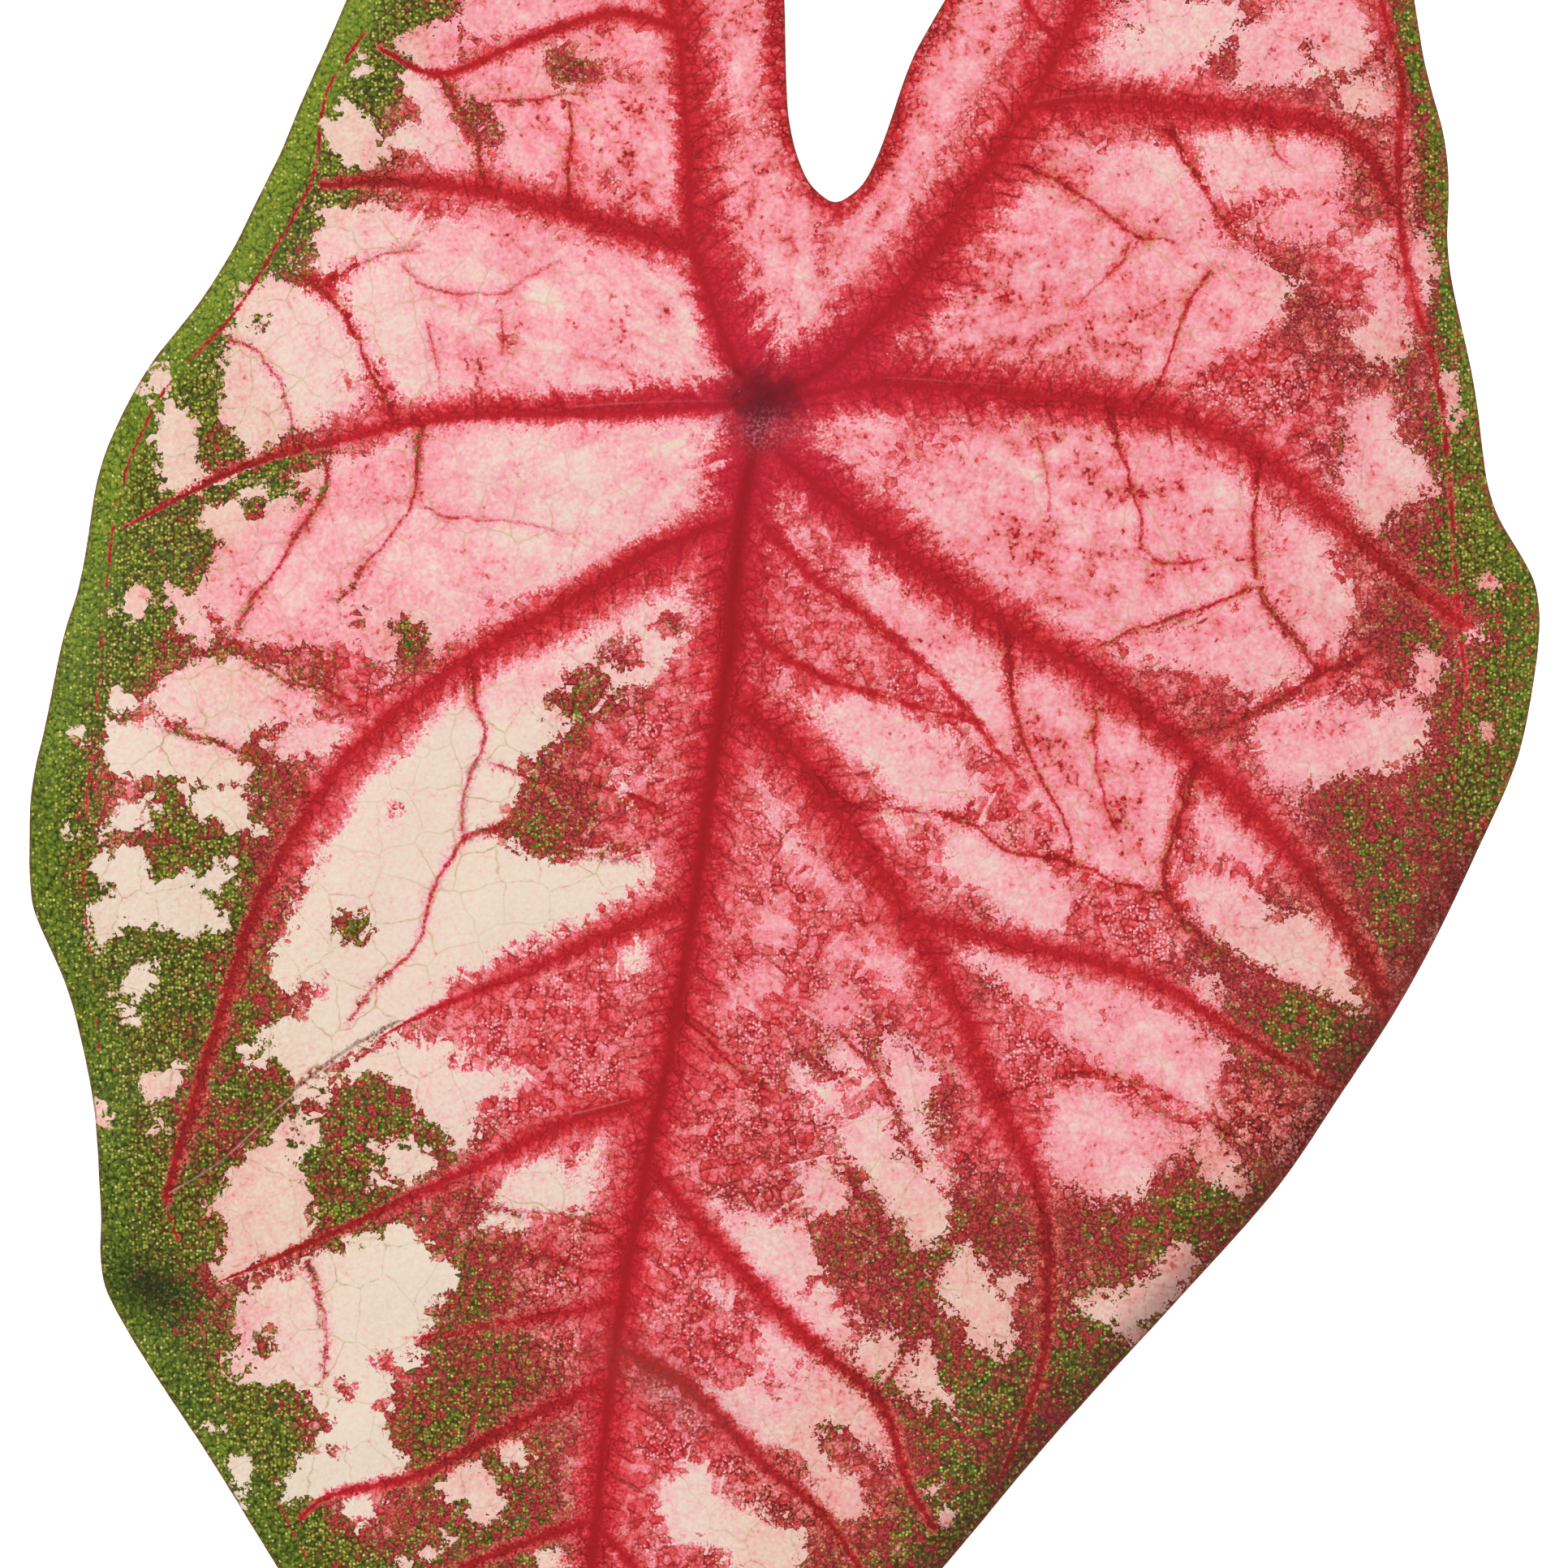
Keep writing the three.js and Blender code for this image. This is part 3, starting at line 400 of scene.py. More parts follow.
        (-7, -24), (-9, -23), (-14, -24.5), (-18, -27), (-24, -29), (-34, -32), (-40, -38), (-44, -43),
        (-49, -46), (-51, -50), (-54, -54), (-54, -56), (-57, -62), (-59.5, -66.5), (-61, -69), (-59, -72),
        (-54, -70), (-54, -72), (-57, -75), (-61, -76.5), (-64, -79), (-63, -81), (-59.5, -80), (-57, -85),
        (-55, -84), (-52, -81), (-47, -78), (-44, -76), (-40, -74), (-38, -70), (-34, -69), (-29, -65.5),
        (-24, -64), (-19.5, -62.5), (-20, -61), (-14, -59), (-12, -57), (-20, -55), (-25, -56.5),
        (-29, -55.5), (-34, -53), (-30, -49), (-30, -45), (-24, -39.5), (-20, -37), (-16, -35),
        (-12, -33), (-9, -29)],
    [
        (-57, -85), (-52, -82), (-48, -79), (-44, -78), (-35, -78.5), (-39, -80.5), (-33, -81.5),
        (-29, -81), (-29, -83), (-34.5, -85.5), (-35, -88), (-37, -92), (-38.5, -89.5), (-42, -88),
        (-42.5, -84.5), (-46, -82.5), (-50, -82.5), (-54, -85)],
    [
        (-50, -90.5), (-47, -90), (-43, -90.5), (-40, -93), (-40.5, -94.8), (-44, -95.5), (-48, -95.5),
        (-46.5, -92.5)],
    [
        (-68, -98), (-65, -94), (-62, -91), (-58, -88), (-54, -87.5), (-54, -90), (-56.5, -93), (-57, -95),
        (-55.5, -97), (-55, -100), (-56, -103), (-60, -105), (-62, -104.5), (-64, -106.5), (-66.5, -107.5),
        (-67.5, -106.5), (-66, -104), (-66, -100)],
    [(-76.5, -83), (-74, -81.5), (-71.5, -81), (-70.8, -82.5), (-72.5, -84.5), (-75.5, -86), (-76.8, -84.5)],
    [
        (-65, -112), (-64, -110), (-61, -107.5), (-56, -105), (-50, -103), (-46, -101), (-42, -100.8),
        (-41, -103.5), (-37, -106), (-38.5, -109), (-41, -110.5), (-41, -113.5), (-44, -116), (-41, -116),
        (-42, -118), (-45, -119), (-46.5, -123), (-46.5, -127), (-43, -130), (-44, -131.5), (-50, -133),
        (-54, -134.5), (-59, -134), (-59.5, -133), (-57, -130), (-53.5, -125), (-55.5, -123), (-54, -120),
        (-56, -121.5), (-61, -121), (-65.5, -119), (-66, -117), (-63, -115), (-60, -114.5), (-60.5, -113.5),
        (-64, -114)],
    [(-52.5, -134.5), (-48, -133.5), (-47, -135), (-48, -137), (-50.5, -138), (-52, -136)],
    [(-65.5, -130), (-64, -129), (-63, -131), (-62.5, -133), (-64.5, -135), (-65.5, -133.5)],
    [
        (-40.5, -134), (-38, -130), (-35, -130), (-33, -133.5), (-31.5, -135), (-32, -137), (-35, -138.5),
        (-37, -134.5)],
    [(-45, -143), (-42, -141), (-39, -138.5), (-38.5, -139.5), (-41, -142.5)],
    [(-34, -100), (-30, -93), (-26, -92), (-24, -95), (-20, -90), (-19, -95), (-22, -99), (-30, -101)],
    [(-46, -146), (-40, -145), (-38, -149), (-43, -153), (-47, -151)],
    [(-33, -148), (-28, -150), (-30, -156), (-35, -156)],
    [(-18, -150), (-12, -148), (-8, -154), (-13, -158), (-17, -155)],
    [(-6, -146), (2, -146), (5, -150), (0, -154), (-5, -151)],
    [(-40, -160), (-35, -158), (-33, -164), (-38, -168)],
    [(-16, -168), (-11, -166), (-8, -172), (-14, -175)],
    [(-32, -176), (-28, -172), (-27, -180), (-31, -183)],
]

# Small pale spots, and small spots of ground inside the pale fields: place and radius.
PALE_SPOTS = [
    (9, -73.5, 2.6), (1.2, -64, 2.4), (16, -51.3, 2), (9.5, -67.5, 1.8), (-0.4, -70.8, 1.8), (-3, -73, 1.6),
    (9.8, -79, 2.2), (12.2, -81.5, 1.8), (5, -82.5, 1.8), (7.5, -85, 2.2), (-0.5, -46.5, 1),
    (1.5, -49.8, 1.5), (-16.8, -47.2, 1.6), (-15.8, -67.5, 2), (87, -28, 1.3), (89, -22, 0.8),
    (88.5, -40.5, 0.8), (53.8, -72.2, 2.2), (30.5, -108.2, 1.2), (-5.5, -109, 1), (21, -133.2, 1),
    (22.5, -136.5, 1), (-77.8, -24.5, 2.2), (-79, -36.8, 1.5), (-78, -74.8, 1.3), (-81.8, -86.8, 1.4),
    (-26.2, -141.8, 2), (-30.5, -128.8, 1.8), (-49, 41, 1.2), (-74.5, -89, 0.9), (-85.5, -52, 0.8),
    (-84, -40, 0.8), (-68, -126, 0.8),
]
GROUND_SPOTS = [
    (-17, -31, 3), (-21, -35, 3), (-12, -27, 2), (-24, -37, 2), (-50.5, -64.2, 2.2), (-45, -50, 0.9),
    (-46.5, -117.5, 1.3), (-52.2, -121, 1.2), (-61.8, -115.8, 1.4), (-53, -128.5, 0.9), (-24, 41.5, 2.4),
    (-21, 40.5, 1.8), (-35, 36, 1.6), (-33.5, 33, 1.6), (-17, 41, 1.4), (-15.5, 39, 1.2), (-23.5, 28, 2),
    (-19, 27, 1.6), (-61.5, 10, 1), (-30, -78, 1.2), (-51, -43, 1.4), (-58, -90, 0.9), (42.5, -75, 0.9),
    (5, -108.5, 0.8), (-44, -28, 1.8), (-50, -26.5, 1.2), (-56, -6.5, 1.2), (-31, 7.5, 0.8), (45, 45, 0.8),
    (67, 44, 1), (30, -36, 0.7), (-59.5, -9, 2), (-56.5, -11.5, 1.5), (-62, -13, 1.6), (-33, -24.5, 1),
    (-51, 2, 1),
]

# How pink the pale fields are, from white at 0 to full pink at 1: place and pinkness.
PALE_TINTS = [
    (-30, 45, 0.8), (-50, 33, 0.3), (-25, 33, 0.9), (-44, 22, 0.45), (-30, 20, 0.75), (-57, 10, 0.3),
    (-62, 0, 0.4), (-25, 10, 0.75), (-10, 8, 0.65), (-72, -4, 0.3), (-45, -15, 0.7), (-28, -14, 0.45),
    (-10, -9, 0.55), (-58, -24, 0.65), (-40, -28, 0.7), (-65, -35, 0.55), (-75, -42, 0.1), (-78, -60, 0.1),
    (-40, -45, 0.12), (-50, -60, 0.2), (-30, -60, 0.1), (-12, -27, 0.35), (-57, -72, 0.1), (-36, -83, 0.25),
    (-60, -96, 0.4), (-50, -108, 0.02), (-60, -113, 0.45), (-52, -128, 0), (-36, -134, 0.35), (0, 20, 0.85),
    (15, 25, 0.9), (27, 43, 0.8), (35, 20, 0.9), (52, 10, 0.85), (56, 29, 0.55), (64, 24, 0.8),
    (48, 45, 0.5), (66, 44, 0.65), (76, 12, 0.65), (40, -15, 0.95), (25, -10, 0.85), (76, -8, 0.65),
    (67, -22, 0.7), (55, -30, 0.8), (70, -42, 0.65), (40, -48, 0.95), (17, -25, 0.75), (18, -44, 0.5),
    (30, -60, 0.55), (57, -55, 0.7), (68, -69, 0.5), (45, -77, 0.7), (43, -91, 0.72), (45, -110, 0.5),
    (15, -70, 0.9), (18, -84, 0.5), (18, -98, 0.52), (0, -105, 0.45), (9, -112, 0.65), (26, -110, 0.45),
    (0, -123, 0.45), (12, -127, 0.6), (-6, -136, 0.3), (-28, 65, 0.7), (58, 64, 0.6), (-35, -165, 0.3),
    (-5, -155, 0.4),
]
TINT_REACH = 9

# Where the ground is green under its red, besides the outer margin: place, reach and strength.
GREEN_PATCHES = [
    (-50, 30, 8, 0.5), (-57, 26, 6, 0.7), (-46, 44, 8, 0.6), (-40, 50, 6, 0.5), (-24, 41, 5, 0.6),
    (-34, 35, 5, 0.6), (-66, 3, 7, 0.9), (-72, -2, 5, 0.6), (-74, -18, 8, 1), (-64, -9, 6, 0.7),
    (-55, -7, 5, 0.5), (-44, -6, 4, 0.3), (-43, -29, 5, 0.8), (-49, -24, 4, 0.5), (-28, -41, 6, 0.6),
    (-28, -53, 6, 0.7), (-18, -34, 5, 0.6), (-23, -37, 4, 0.5), (-11, -28, 3, 0.5), (-20, -50, 6, 0.35),
    (-62, -35, 7, 0.4), (-70, -44, 6, 0.6), (-72, -52, 7, 0.7), (-60, -47, 6, 0.5), (-75, -68, 10, 1),
    (-66, -60, 8, 0.9), (-66, -78, 10, 1), (-50, -64, 4, 0.9), (-47, -73, 5, 0.5), (-60, -88, 6, 0.8),
    (-47, -86, 7, 0.9), (-40, -92, 7, 0.6), (-54, -95, 6, 0.7), (-36, -106, 8, 0.6), (-36, -118, 9, 0.7),
    (-40, -128, 8, 0.7), (-30, -135, 9, 0.5), (-24, -122, 8, 0.35), (-27, -145, 10, 0.5),
    (-60, -124, 8, 0.9), (-62, -112, 6, 0.6), (-20, -100, 7, 0.2), (-45, -145, 9, 0.8), (45, 48, 6, 0.5),
    (56, 48, 6, 0.6), (60, 40, 5, 0.4), (70, 42, 6, 0.5), (72, 33, 5, 0.5), (63.5, 15, 5, 0.8),
    (68, 8, 5, 0.45), (75, 25, 5, 0.5), (78, 6, 5, 0.7), (82, -4, 5, 0.7), (70, -5, 5, 0.3),
    (67, -24, 4, 0.5), (74, -14, 5, 0.75), (84, -18, 6, 0.8), (76, -26, 5, 0.35), (62, -33, 5, 0.4),
    (48, -31, 6, 0.35), (55, -40, 6, 0.4), (70, -45, 6, 0.4), (84, -35, 8, 0.7), (80, -50, 8, 0.4),
    (64, -62, 5, 0.5), (56, -68, 6, 0.62), (60, -78, 7, 0.6), (50, -100, 7, 0.75), (30, -100, 6, 0.6),
    (20, -104, 8, 0.75), (20, -86, 5, 0.6), (27, -64, 3, 0.6), (26, -72, 4, 0.55), (7, -80, 4, 0.55),
    (8, -104, 5, 0.6), (72, -52, 5, 0.8), (15, -79, 4, 0.55), (16, -118, 8, 0.6), (25, -122, 8, 0.7),
    (8, -125, 6, 0.6), (28, -135, 8, 0.6), (10, -145, 8, 0.5), (0, -140, 6, 0.4), (-8, -112, 5, 0.2),
    (2, -88, 6, 0.25), (-2, -96, 5, 0.25), (14, -94, 5, 0.6), (40, -101, 5, 0.55), (45, -120, 10, 0.6),
    (-30, 60, 10, 0.4), (60, 62, 8, 0.5), (-35, -160, 12, 0.9), (-10, -160, 12, 0.6), (-30, -185, 14, 1),
    (-50, -101, 6, 0.9), (71, -78, 7, 0.75), (78, -64, 6, 0.68), (58, -98, 7, 0.75), (34, -118, 9, 0.6),
    (22, -138, 9, 0.7), (44, -112, 7, 0.5), (85, -46, 5, 0.6), (76, -57, 5, 0.6), (-70, -96, 6, 0.9),
    (-70, -104, 6, 0.9), (-64, -96, 4, 0.5), (88, -20, 6, 0.5), (80, -28, 5, 0.5), (66, -76, 5, 0.55),
    (-73, -17, 6, 0.8), (-78, -29, 6, 0.9), (-60, -10, 4, 0.8), (-68, -33, 5, 0.6), (-55, -33, 4, 0.4),
]

# Where the red of the ground and the ribs is dark and brownish: place, reach and strength.
BROWN_PATCHES = [
    (67, 5, 9, 0.45), (78, 5, 8, 0.4), (80, -15, 9, 0.5), (74, -26, 8, 0.5), (62, -20, 5, 0.25),
    (80, -55, 11, 0.8), (68, -62, 8, 0.5), (86, -48, 8, 0.7), (70, -80, 10, 0.6), (56, -97, 10, 0.6),
    (56, -68, 6, 0.3), (60, -36, 6, 0.3), (47, -37, 6, 0.4), (20, -104, 9, 0.5), (28, -120, 10, 0.7),
    (13, -117, 8, 0.5), (35, -100, 8, 0.4), (26, -92, 6, 0.3), (5, -98, 9, 0.4), (-6, -88, 9, 0.3),
    (10, -142, 12, 0.8), (0, -130, 10, 0.5), (-30, -114, 10, 0.5), (-26, -100, 8, 0.3), (-36, -126, 8, 0.5),
    (-62, -52, 9, 0.6), (-66, -75, 12, 0.8), (-70, -92, 9, 0.9), (-58, -90, 7, 0.5), (76, 40, 8, 0.6),
    (80, 26, 8, 0.7), (60, 33, 5, 0.4), (-46, 45, 6, 0.5), (-24, 41, 4, 0.7), (-62, -32, 7, 0.4),
    (-44, -29, 5, 0.5), (-50, 28, 7, 0.5), (-70, -10, 9, 0.6), (-30, -160, 20, 0.6), (34, -106, 7, 0.5),
    (34, -117, 7, 0.7), (31, -128, 7, 0.9), (-60, -103, 8, 0.8), (-50, -98, 6, 0.6), (-56, -4, 6, 0.5),
    (-70, -14, 7, 0.5), (-45, 27, 5, 0.4), (60, -88, 8, 0.4),
]


def smooth_route(points, step):
    """Evenly spaced places along a smooth curve through the points."""
    knots = [np.array(point, float) for point in points]
    knots = [2 * knots[0] - knots[1]] + knots + [2 * knots[-1] - knots[-2]]
    line = []
    for before, start, end, after in zip(knots, knots[1:], knots[2:], knots[3:]):
        gap_in, gap, gap_out = (
            math.sqrt(np.linalg.norm(b - a)) for a, b in ((before, start), (start, end), (end, after)))
        way_in = ((start - before) / gap_in - (end - before) / (gap_in + gap) + (end - start) / gap) * gap
        way_out = ((end - start) / gap - (after - start) / (gap + gap_out) + (after - end) / gap_out) * gap
        for t in np.arange(0, 1, 0.05):
            line.append(
                start + way_in * t + (3 * (end - start) - 2 * way_in - way_out) * t ** 2
                + (2 * (start - end) + way_in + way_out) * t ** 3)
    line = np.array(line + [knots[-2]])
    run = np.concatenate([[0], np.cumsum(np.linalg.norm(np.diff(line, axis=0), axis=1))])
    marks = np.linspace(0, run[-1], max(3, round(run[-1] / step) + 1))
    return np.column_stack([np.interp(marks, run, line[:, 0]), np.interp(marks, run, line[:, 1])])


def to_line(spots, start, end):
    """For each spot, its place from the start of a straight line, how far along, 0 to 1, and how far off."""
    way = end - start
    off = spots - start
    share = np.clip(off @ way / (way @ way), 0, 1)
    left = off - share[:, None] * way
    return off, share, np.hypot(left[:, 0], left[:, 1])


def gap_to_route(places, route):
    """Signed distance of each place to a route, plus on its left, and how far along it lies, 0 to 1."""
    gap = np.full(len(places), float(FAR))
    side = np.ones(len(places))
    along = np.zeros(len(places))
    near = np.all((places > route.min(0) - FAR) & (places < route.max(0) + FAR), axis=1)
    spots = places[near]
    best, best_side, best_along = gap[near], side[near], along[near]
    for i, (start, end) in enumerate(zip(route, route[1:])):
        way = end - start
        off, share, distance = to_line(spots, start, end)
        closer = distance < best
        best[closer] = distance[closer]
        turn = way[0] * off[:, 1] - way[1] * off[:, 0]
        best_side[closer] = np.where(turn[closer] >= 0, 1, -1)
        best_along[closer] = (i + share[closer]) / (len(route) - 1)
    gap[near], side[near], along[near] = best, best_side, best_along
    return gap, side, along


def depth_in_outline(places, outline):
    """Distance of each place to an outline, plus inside it."""
    corners = np.array(outline, float)
    gap = np.full(len(places), float(FAR))
    inside = np.zeros(len(places), bool)
    near = np.all((places > corners.min(0) - FAR) & (places < corners.max(0) + FAR), axis=1)
    spots = places[near]
    best, best_inside = gap[near], inside[near]
    for start, end in zip(corners, np.roll(corners, -1, axis=0)):
        way = end - start
        off, _, distance = to_line(spots, start, end)
        best = np.minimum(best, distance)
        crosses = (start[1] > spots[:, 1]) != (end[1] > spots[:, 1])
        level = np.where(way[1] == 0, 1, way[1])
        best_inside ^= crosses & (off[:, 0] < way[0] * off[:, 1] / level)
    gap[near], inside[near] = best, best_inside
    return np.where(inside, gap, -gap)


def rest_on_surface(height):
    """Keeps a height at or above the surface, with a soft start."""
    eased = np.clip(height + REST_BLEND, 0, None) ** 2 / (4 * REST_BLEND)
    return np.where(height >= REST_BLEND, height, eased)


def read_values(items, name, width=1, kind=float):
    """A property of every item: one number each, or a row of as many as its width."""
    values = np.empty(len(items) * width, kind)
    items.foreach_get(name, values)
    return values.reshape(-1, width) if width > 1 else values


def write_map(thing, name, domain, *values):
    """Three values for each point or face corner of a mesh, for its material to read."""
    attribute = thing.data.attributes.new(name, "FLOAT_VECTOR", domain)
    attribute.data.foreach_set("vector", np.column_stack(values).ravel())


def make_finer(thing):
    finer = thing.modifiers.new("finer", "SUBSURF")
    finer.levels = 2
    finer.render_levels = 2
    bpy.ops.object.modifier_apply(modifier=finer.name)


def closeness(x, y, reach):
    """1 at a place on the blade, fading to 0 around it."""
    return np.exp(-((places[:, 0] - x) ** 2 + (places[:, 1] - y) ** 2) / reach ** 2)


cad_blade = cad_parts["blade"]
blade = cad_blade.copy()
blade.data = cad_blade.data.copy()
blade.name = "leaf_blade"
bpy.context.scene.collection.objects.link(blade)
bpy.ops.object.select_all(action="DESELECT")
blade.select_set(True)
bpy.context.view_layer.objects.active = blade
bpy.ops.mesh.customdata_custom_splitnormals_clear()
bpy.ops.object.mode_set(mode="EDIT")
bpy.ops.mesh.select_all(action="SELECT")
bpy.ops.mesh.remove_doubles(threshold=0.01 * MM)
bpy.ops.object.mode_set(mode="OBJECT")

# The upper side is marked 1 and the underside 0, so that the cut of the margin lies between them.
upper_mark = blade.data.attributes.new("upper", "FLOAT", "POINT")
upper_mark.data.foreach_set("value", [float(v.normal.z > 0) for v in blade.data.vertices])
make_finer(blade)

vertex_count = len(blade.data.vertices)
positions = read_values(blade.data.vertices, "co", 3)
places = positions[:, :2] / MM - HUB
upper = read_values(blade.data.attributes["upper"].data, "value")

# Distance to the margin, from the middle of its cut.
cut = places[(upper > 0.4) & (upper < 0.6)]
margin_tree = KDTree(len(cut))
for i, (x, y) in enumerate(cut):
    margin_tree.insert((x, y, 0), i)
margin_tree.balance()
from_margin = np.array([margin_tree.find((x, y, 0))[2] for x, y in places])

# Relief and red of the ribs, and the raised net of thin veins between them.
rib_depth = np.zeros(vertex_count)
to_vein = np.full(vertex_count, float(FAR))
halo = np.full(vertex_count, NO_HALO)
for width, depth, core, red_left, red_right, red_taper, points in RIBS:
    gap, side, along = gap_to_route(places, smooth_route(points, ROUTE_STEP))
    left = 1 - RIB_TAPER * along
    rib_depth = np.maximum(rib_depth, depth * left * np.exp(-(gap / (0.5 * width * left)) ** 2))
    to_vein = np.minimum(to_vein, gap)
    reach = np.where(side > 0, red_left, red_right) * np.clip(1 - red_taper * along, RED_AT_END, 1)
    halo = np.minimum(halo, gap / reach)
for strength, points in VEINS:
    gap, _, along = gap_to_route(places, smooth_route(points, ROUTE_STEP))
    to_vein = np.minimum(to_vein, gap)
    if strength > 0:
        left = 1 - NET_TAPER * along
        rib_depth = np.maximum(rib_depth, NET_DEPTH * left * np.exp(-(gap / (0.5 * NET_WIDTH)) ** 2))
from_hub = np.hypot(places[:, 0], places[:, 1])
boss = HUB_DEPTH * np.exp(-(np.clip(from_hub - HUB_RADIUS, 0, None) / HUB_SLOPE) ** 2)
rib_depth = np.maximum(rib_depth, boss)

lengthwise = np.where(places[:, 1] > 0, LOBE_DROOP, TIP_DROOP)
lamina = HUB_LIFT - SIDE_DROOP * places[:, 0] ** 2 - lengthwise * places[:, 1] ** 2
lamina += PUCKER * (1 - np.exp(-(to_vein / PUCKER_REACH) ** 2))
for x, y, reach, rise in MARGIN_WAVES:
    lamina += rise * closeness(x, y, reach)
thickness = LAMINA * (EDGE_SHARE + (1 - EDGE_SHARE) * np.clip(from_margin / EDGE_REACH, 0, 1))
top = rest_on_surface(lamina) + thickness - RIB_GROOVE * rib_depth / HUB_DEPTH
under = rest_on_surface(lamina - rib_depth)
positions[:, 2] = (under + (top - under) * upper) * MM
blade.data.vertices.foreach_set("co", positions.ravel())

# Pigment on the points: how deep inside a pale field each lies, how green and brown the ground is there,
# and how pink a pale field is.
pale = np.full(vertex_count, -float(FAR))
for outline in PALE_FIELDS:
    pale = np.maximum(pale, depth_in_outline(places, outline))
for x, y, radius in PALE_SPOTS:
    pale = np.maximum(pale, radius - np.hypot(places[:, 0] - x, places[:, 1] - y))
for x, y, radius in GROUND_SPOTS:
    pale = np.minimum(pale, np.hypot(places[:, 0] - x, places[:, 1] - y) - radius)

# The green rim is broad on the left and narrow on the upper right. It turns red-brown on the lower right,
# and is missing round the notch.
on_left = np.clip(0.5 - places[:, 0] / 20, 0, 1)
is_low = np.clip(0.4 - places[:, 1] / 25, 0, 1)
rim_width = RIM_WIDTH + RIM_ADDED_LEFT * on_left + RIM_ADDED_LOW * (1 - on_left) * is_low
beside_notch = np.clip((np.abs(places[:, 0] - NOTCH_X) - NOTCH_REACH) / 10, 0, 1)
away_from_notch = np.where(places[:, 1] > NOTCH_Y, beside_notch, 1)
rim_green = away_from_notch * np.maximum(on_left, np.clip((places[:, 1] - BROWN_FROM) / 18, 0.08, 1))
green = RIM_STRENGTH * np.clip(RIM_EDGE - from_margin / rim_width * RIM_EDGE, 0, 1) * rim_green
brown = RIM_STRENGTH * np.clip(BROWN_EDGE - from_margin / BROWN_WIDTH, 0, 1)
brown = brown * (1 - rim_green) * away_from_notch
for x, y, reach, strength in BROWN_PATCHES:
    brown += strength * closeness(x, y, reach)
for x, y, reach, strength in GREEN_PATCHES:
    green += strength * closeness(x, y, reach)

# Pinkness is the mean of the tints nearby, or of all of them where none is near.
FAINT = 1e-7
weight = np.full(vertex_count, 0.01 * FAINT)
pinkness = weight * 0.5
for x, y, tint in PALE_TINTS:
    share = closeness(x, y, TINT_REACH) + FAINT
    weight += share
    pinkness += share * tint
pinkness /= weight

write_map(blade, "ground_map", "POINT", pale, from_margin, green)
write_map(blade, "tone_map", "POINT", pinkness, halo, upper)
write_map(blade, "place_map", "POINT", from_hub, away_from_notch, rib_depth)
write_map(blade, "edge_map", "POINT", rim_green, brown, from_margin / rim_width)


def long_spot(x, y, length, width, angle):
    """A long soft spot: 1 in its middle, fading to 0."""
    turn = math.radians(angle)
    lengthwise = (places[:, 0] - x) * math.cos(turn) + (places[:, 1] - y) * math.sin(turn)
    crosswise = (places[:, 1] - y) * math.cos(turn) - (places[:, 0] - x) * math.sin(turn)
    return np.exp(-(lengthwise / length) ** 2 - (crosswise / width) ** 2)


# The painted shade in the fold of the left margin, the silvery bloom below the hub, and a brown spot.
shade = long_spot(-75, -109, 7, 3.5, -25)
bloom = long_spot(0, -3.6, 3.2, 2.0, 10)
brown_spot = long_spot(-12, -120.5, 9, 3, -35)
write_map(blade, "shade_and_spot_map", "POINT", shade, bloom, brown_spot)

# Lines on the face corners, measured from the one rib or vein nearest to the face, so they stay sharp.
blade.data.update()
middles = read_values(blade.data.polygons, "center", 3)[:, :2] / MM - HUB
corner_points = read_values(blade.data.loops, "vertex_index", kind=int)
corner_faces = np.repeat(np.arange(len(middles)), 4)


def write_line_map(name, routes, strengths, decline, has_width):
    """Signed distance to the nearest line, distance along it, and its strength there, on each corner."""
    starts, ways, runs, values, befores, afters = [], [], [], [], [], []
    for route, (at_root, at_end) in zip(routes, strengths):
        way = np.diff(route, axis=0)
        length = np.linalg.norm(way, axis=1)
        starts.append(route[:-1])
        ways.append(way / length[:, None])
        runs.append(np.concatenate([[0], np.cumsum(length)[:-1]]) + RUN_APART * len(runs))
        values.append(at_end + (at_root - at_end) * np.exp(-decline * np.linspace(0, 1, len(way))))
        # A line stops at the two ends of its route, and runs on over the ends between.
        befores.append(np.where(np.arange(len(way)) == 0, 0, -FAR))
        afters.append(np.where(np.arange(len(way)) == len(way) - 1, length, FAR))
    starts, ways, runs, values, befores, afters = (
        np.concatenate(part) for part in (starts, ways, runs, values, befores, afters))
    half_widths = values if has_width else values * 0
    line_tree = KDTree(len(starts))
    for i, (start, way) in enumerate(zip(starts, ways)):
        line_tree.insert((start[0] + 0.5 * way[0], start[1] + 0.5 * way[1], 0), i)
    line_tree.balance()
    chosen = []
    for x, y in middles:
        found = line_tree.find_n((x, y, 0), NEARBY_LINES)
        chosen.append(min(found, key=lambda near: near[2] - half_widths[near[1]])[1])
    nearest = np.array(chosen)[corner_faces]
    off = places[corner_points] - starts[nearest]
    way = ways[nearest]
    gap = way[:, 0] * off[:, 1] - way[:, 1] * off[:, 0]
    run = np.einsum("ij,ij->i", way, off)
    beyond = run - np.clip(run, befores[nearest], afters[nearest])
    past_end = np.repeat(np.any(beyond.reshape(-1, 4) != 0, axis=1), 4)
    gap = np.where((gap < 0) & ~past_end, -1, 1) * np.hypot(gap, beyond)
    write_map(blade, name, "CORNER", gap, runs[nearest] + run, values[nearest])


write_line_map(
    "rib_map", [smooth_route(points, LINE_STEP) for *_, points in RIBS],
    [(core, core * CORE_AT_END * (1 - red_taper)) for _, _, core, _, _, red_taper, _ in RIBS],
    decline=3.5, has_width=True)
write_line_map(
    "vein_map", [smooth_route(points, LINE_STEP) for _, points in VEINS],
    [(strength, strength * VEIN_AT_END) for strength, _ in VEINS],
    decline=0.8, has_width=False)
blade.data.shade_smooth()


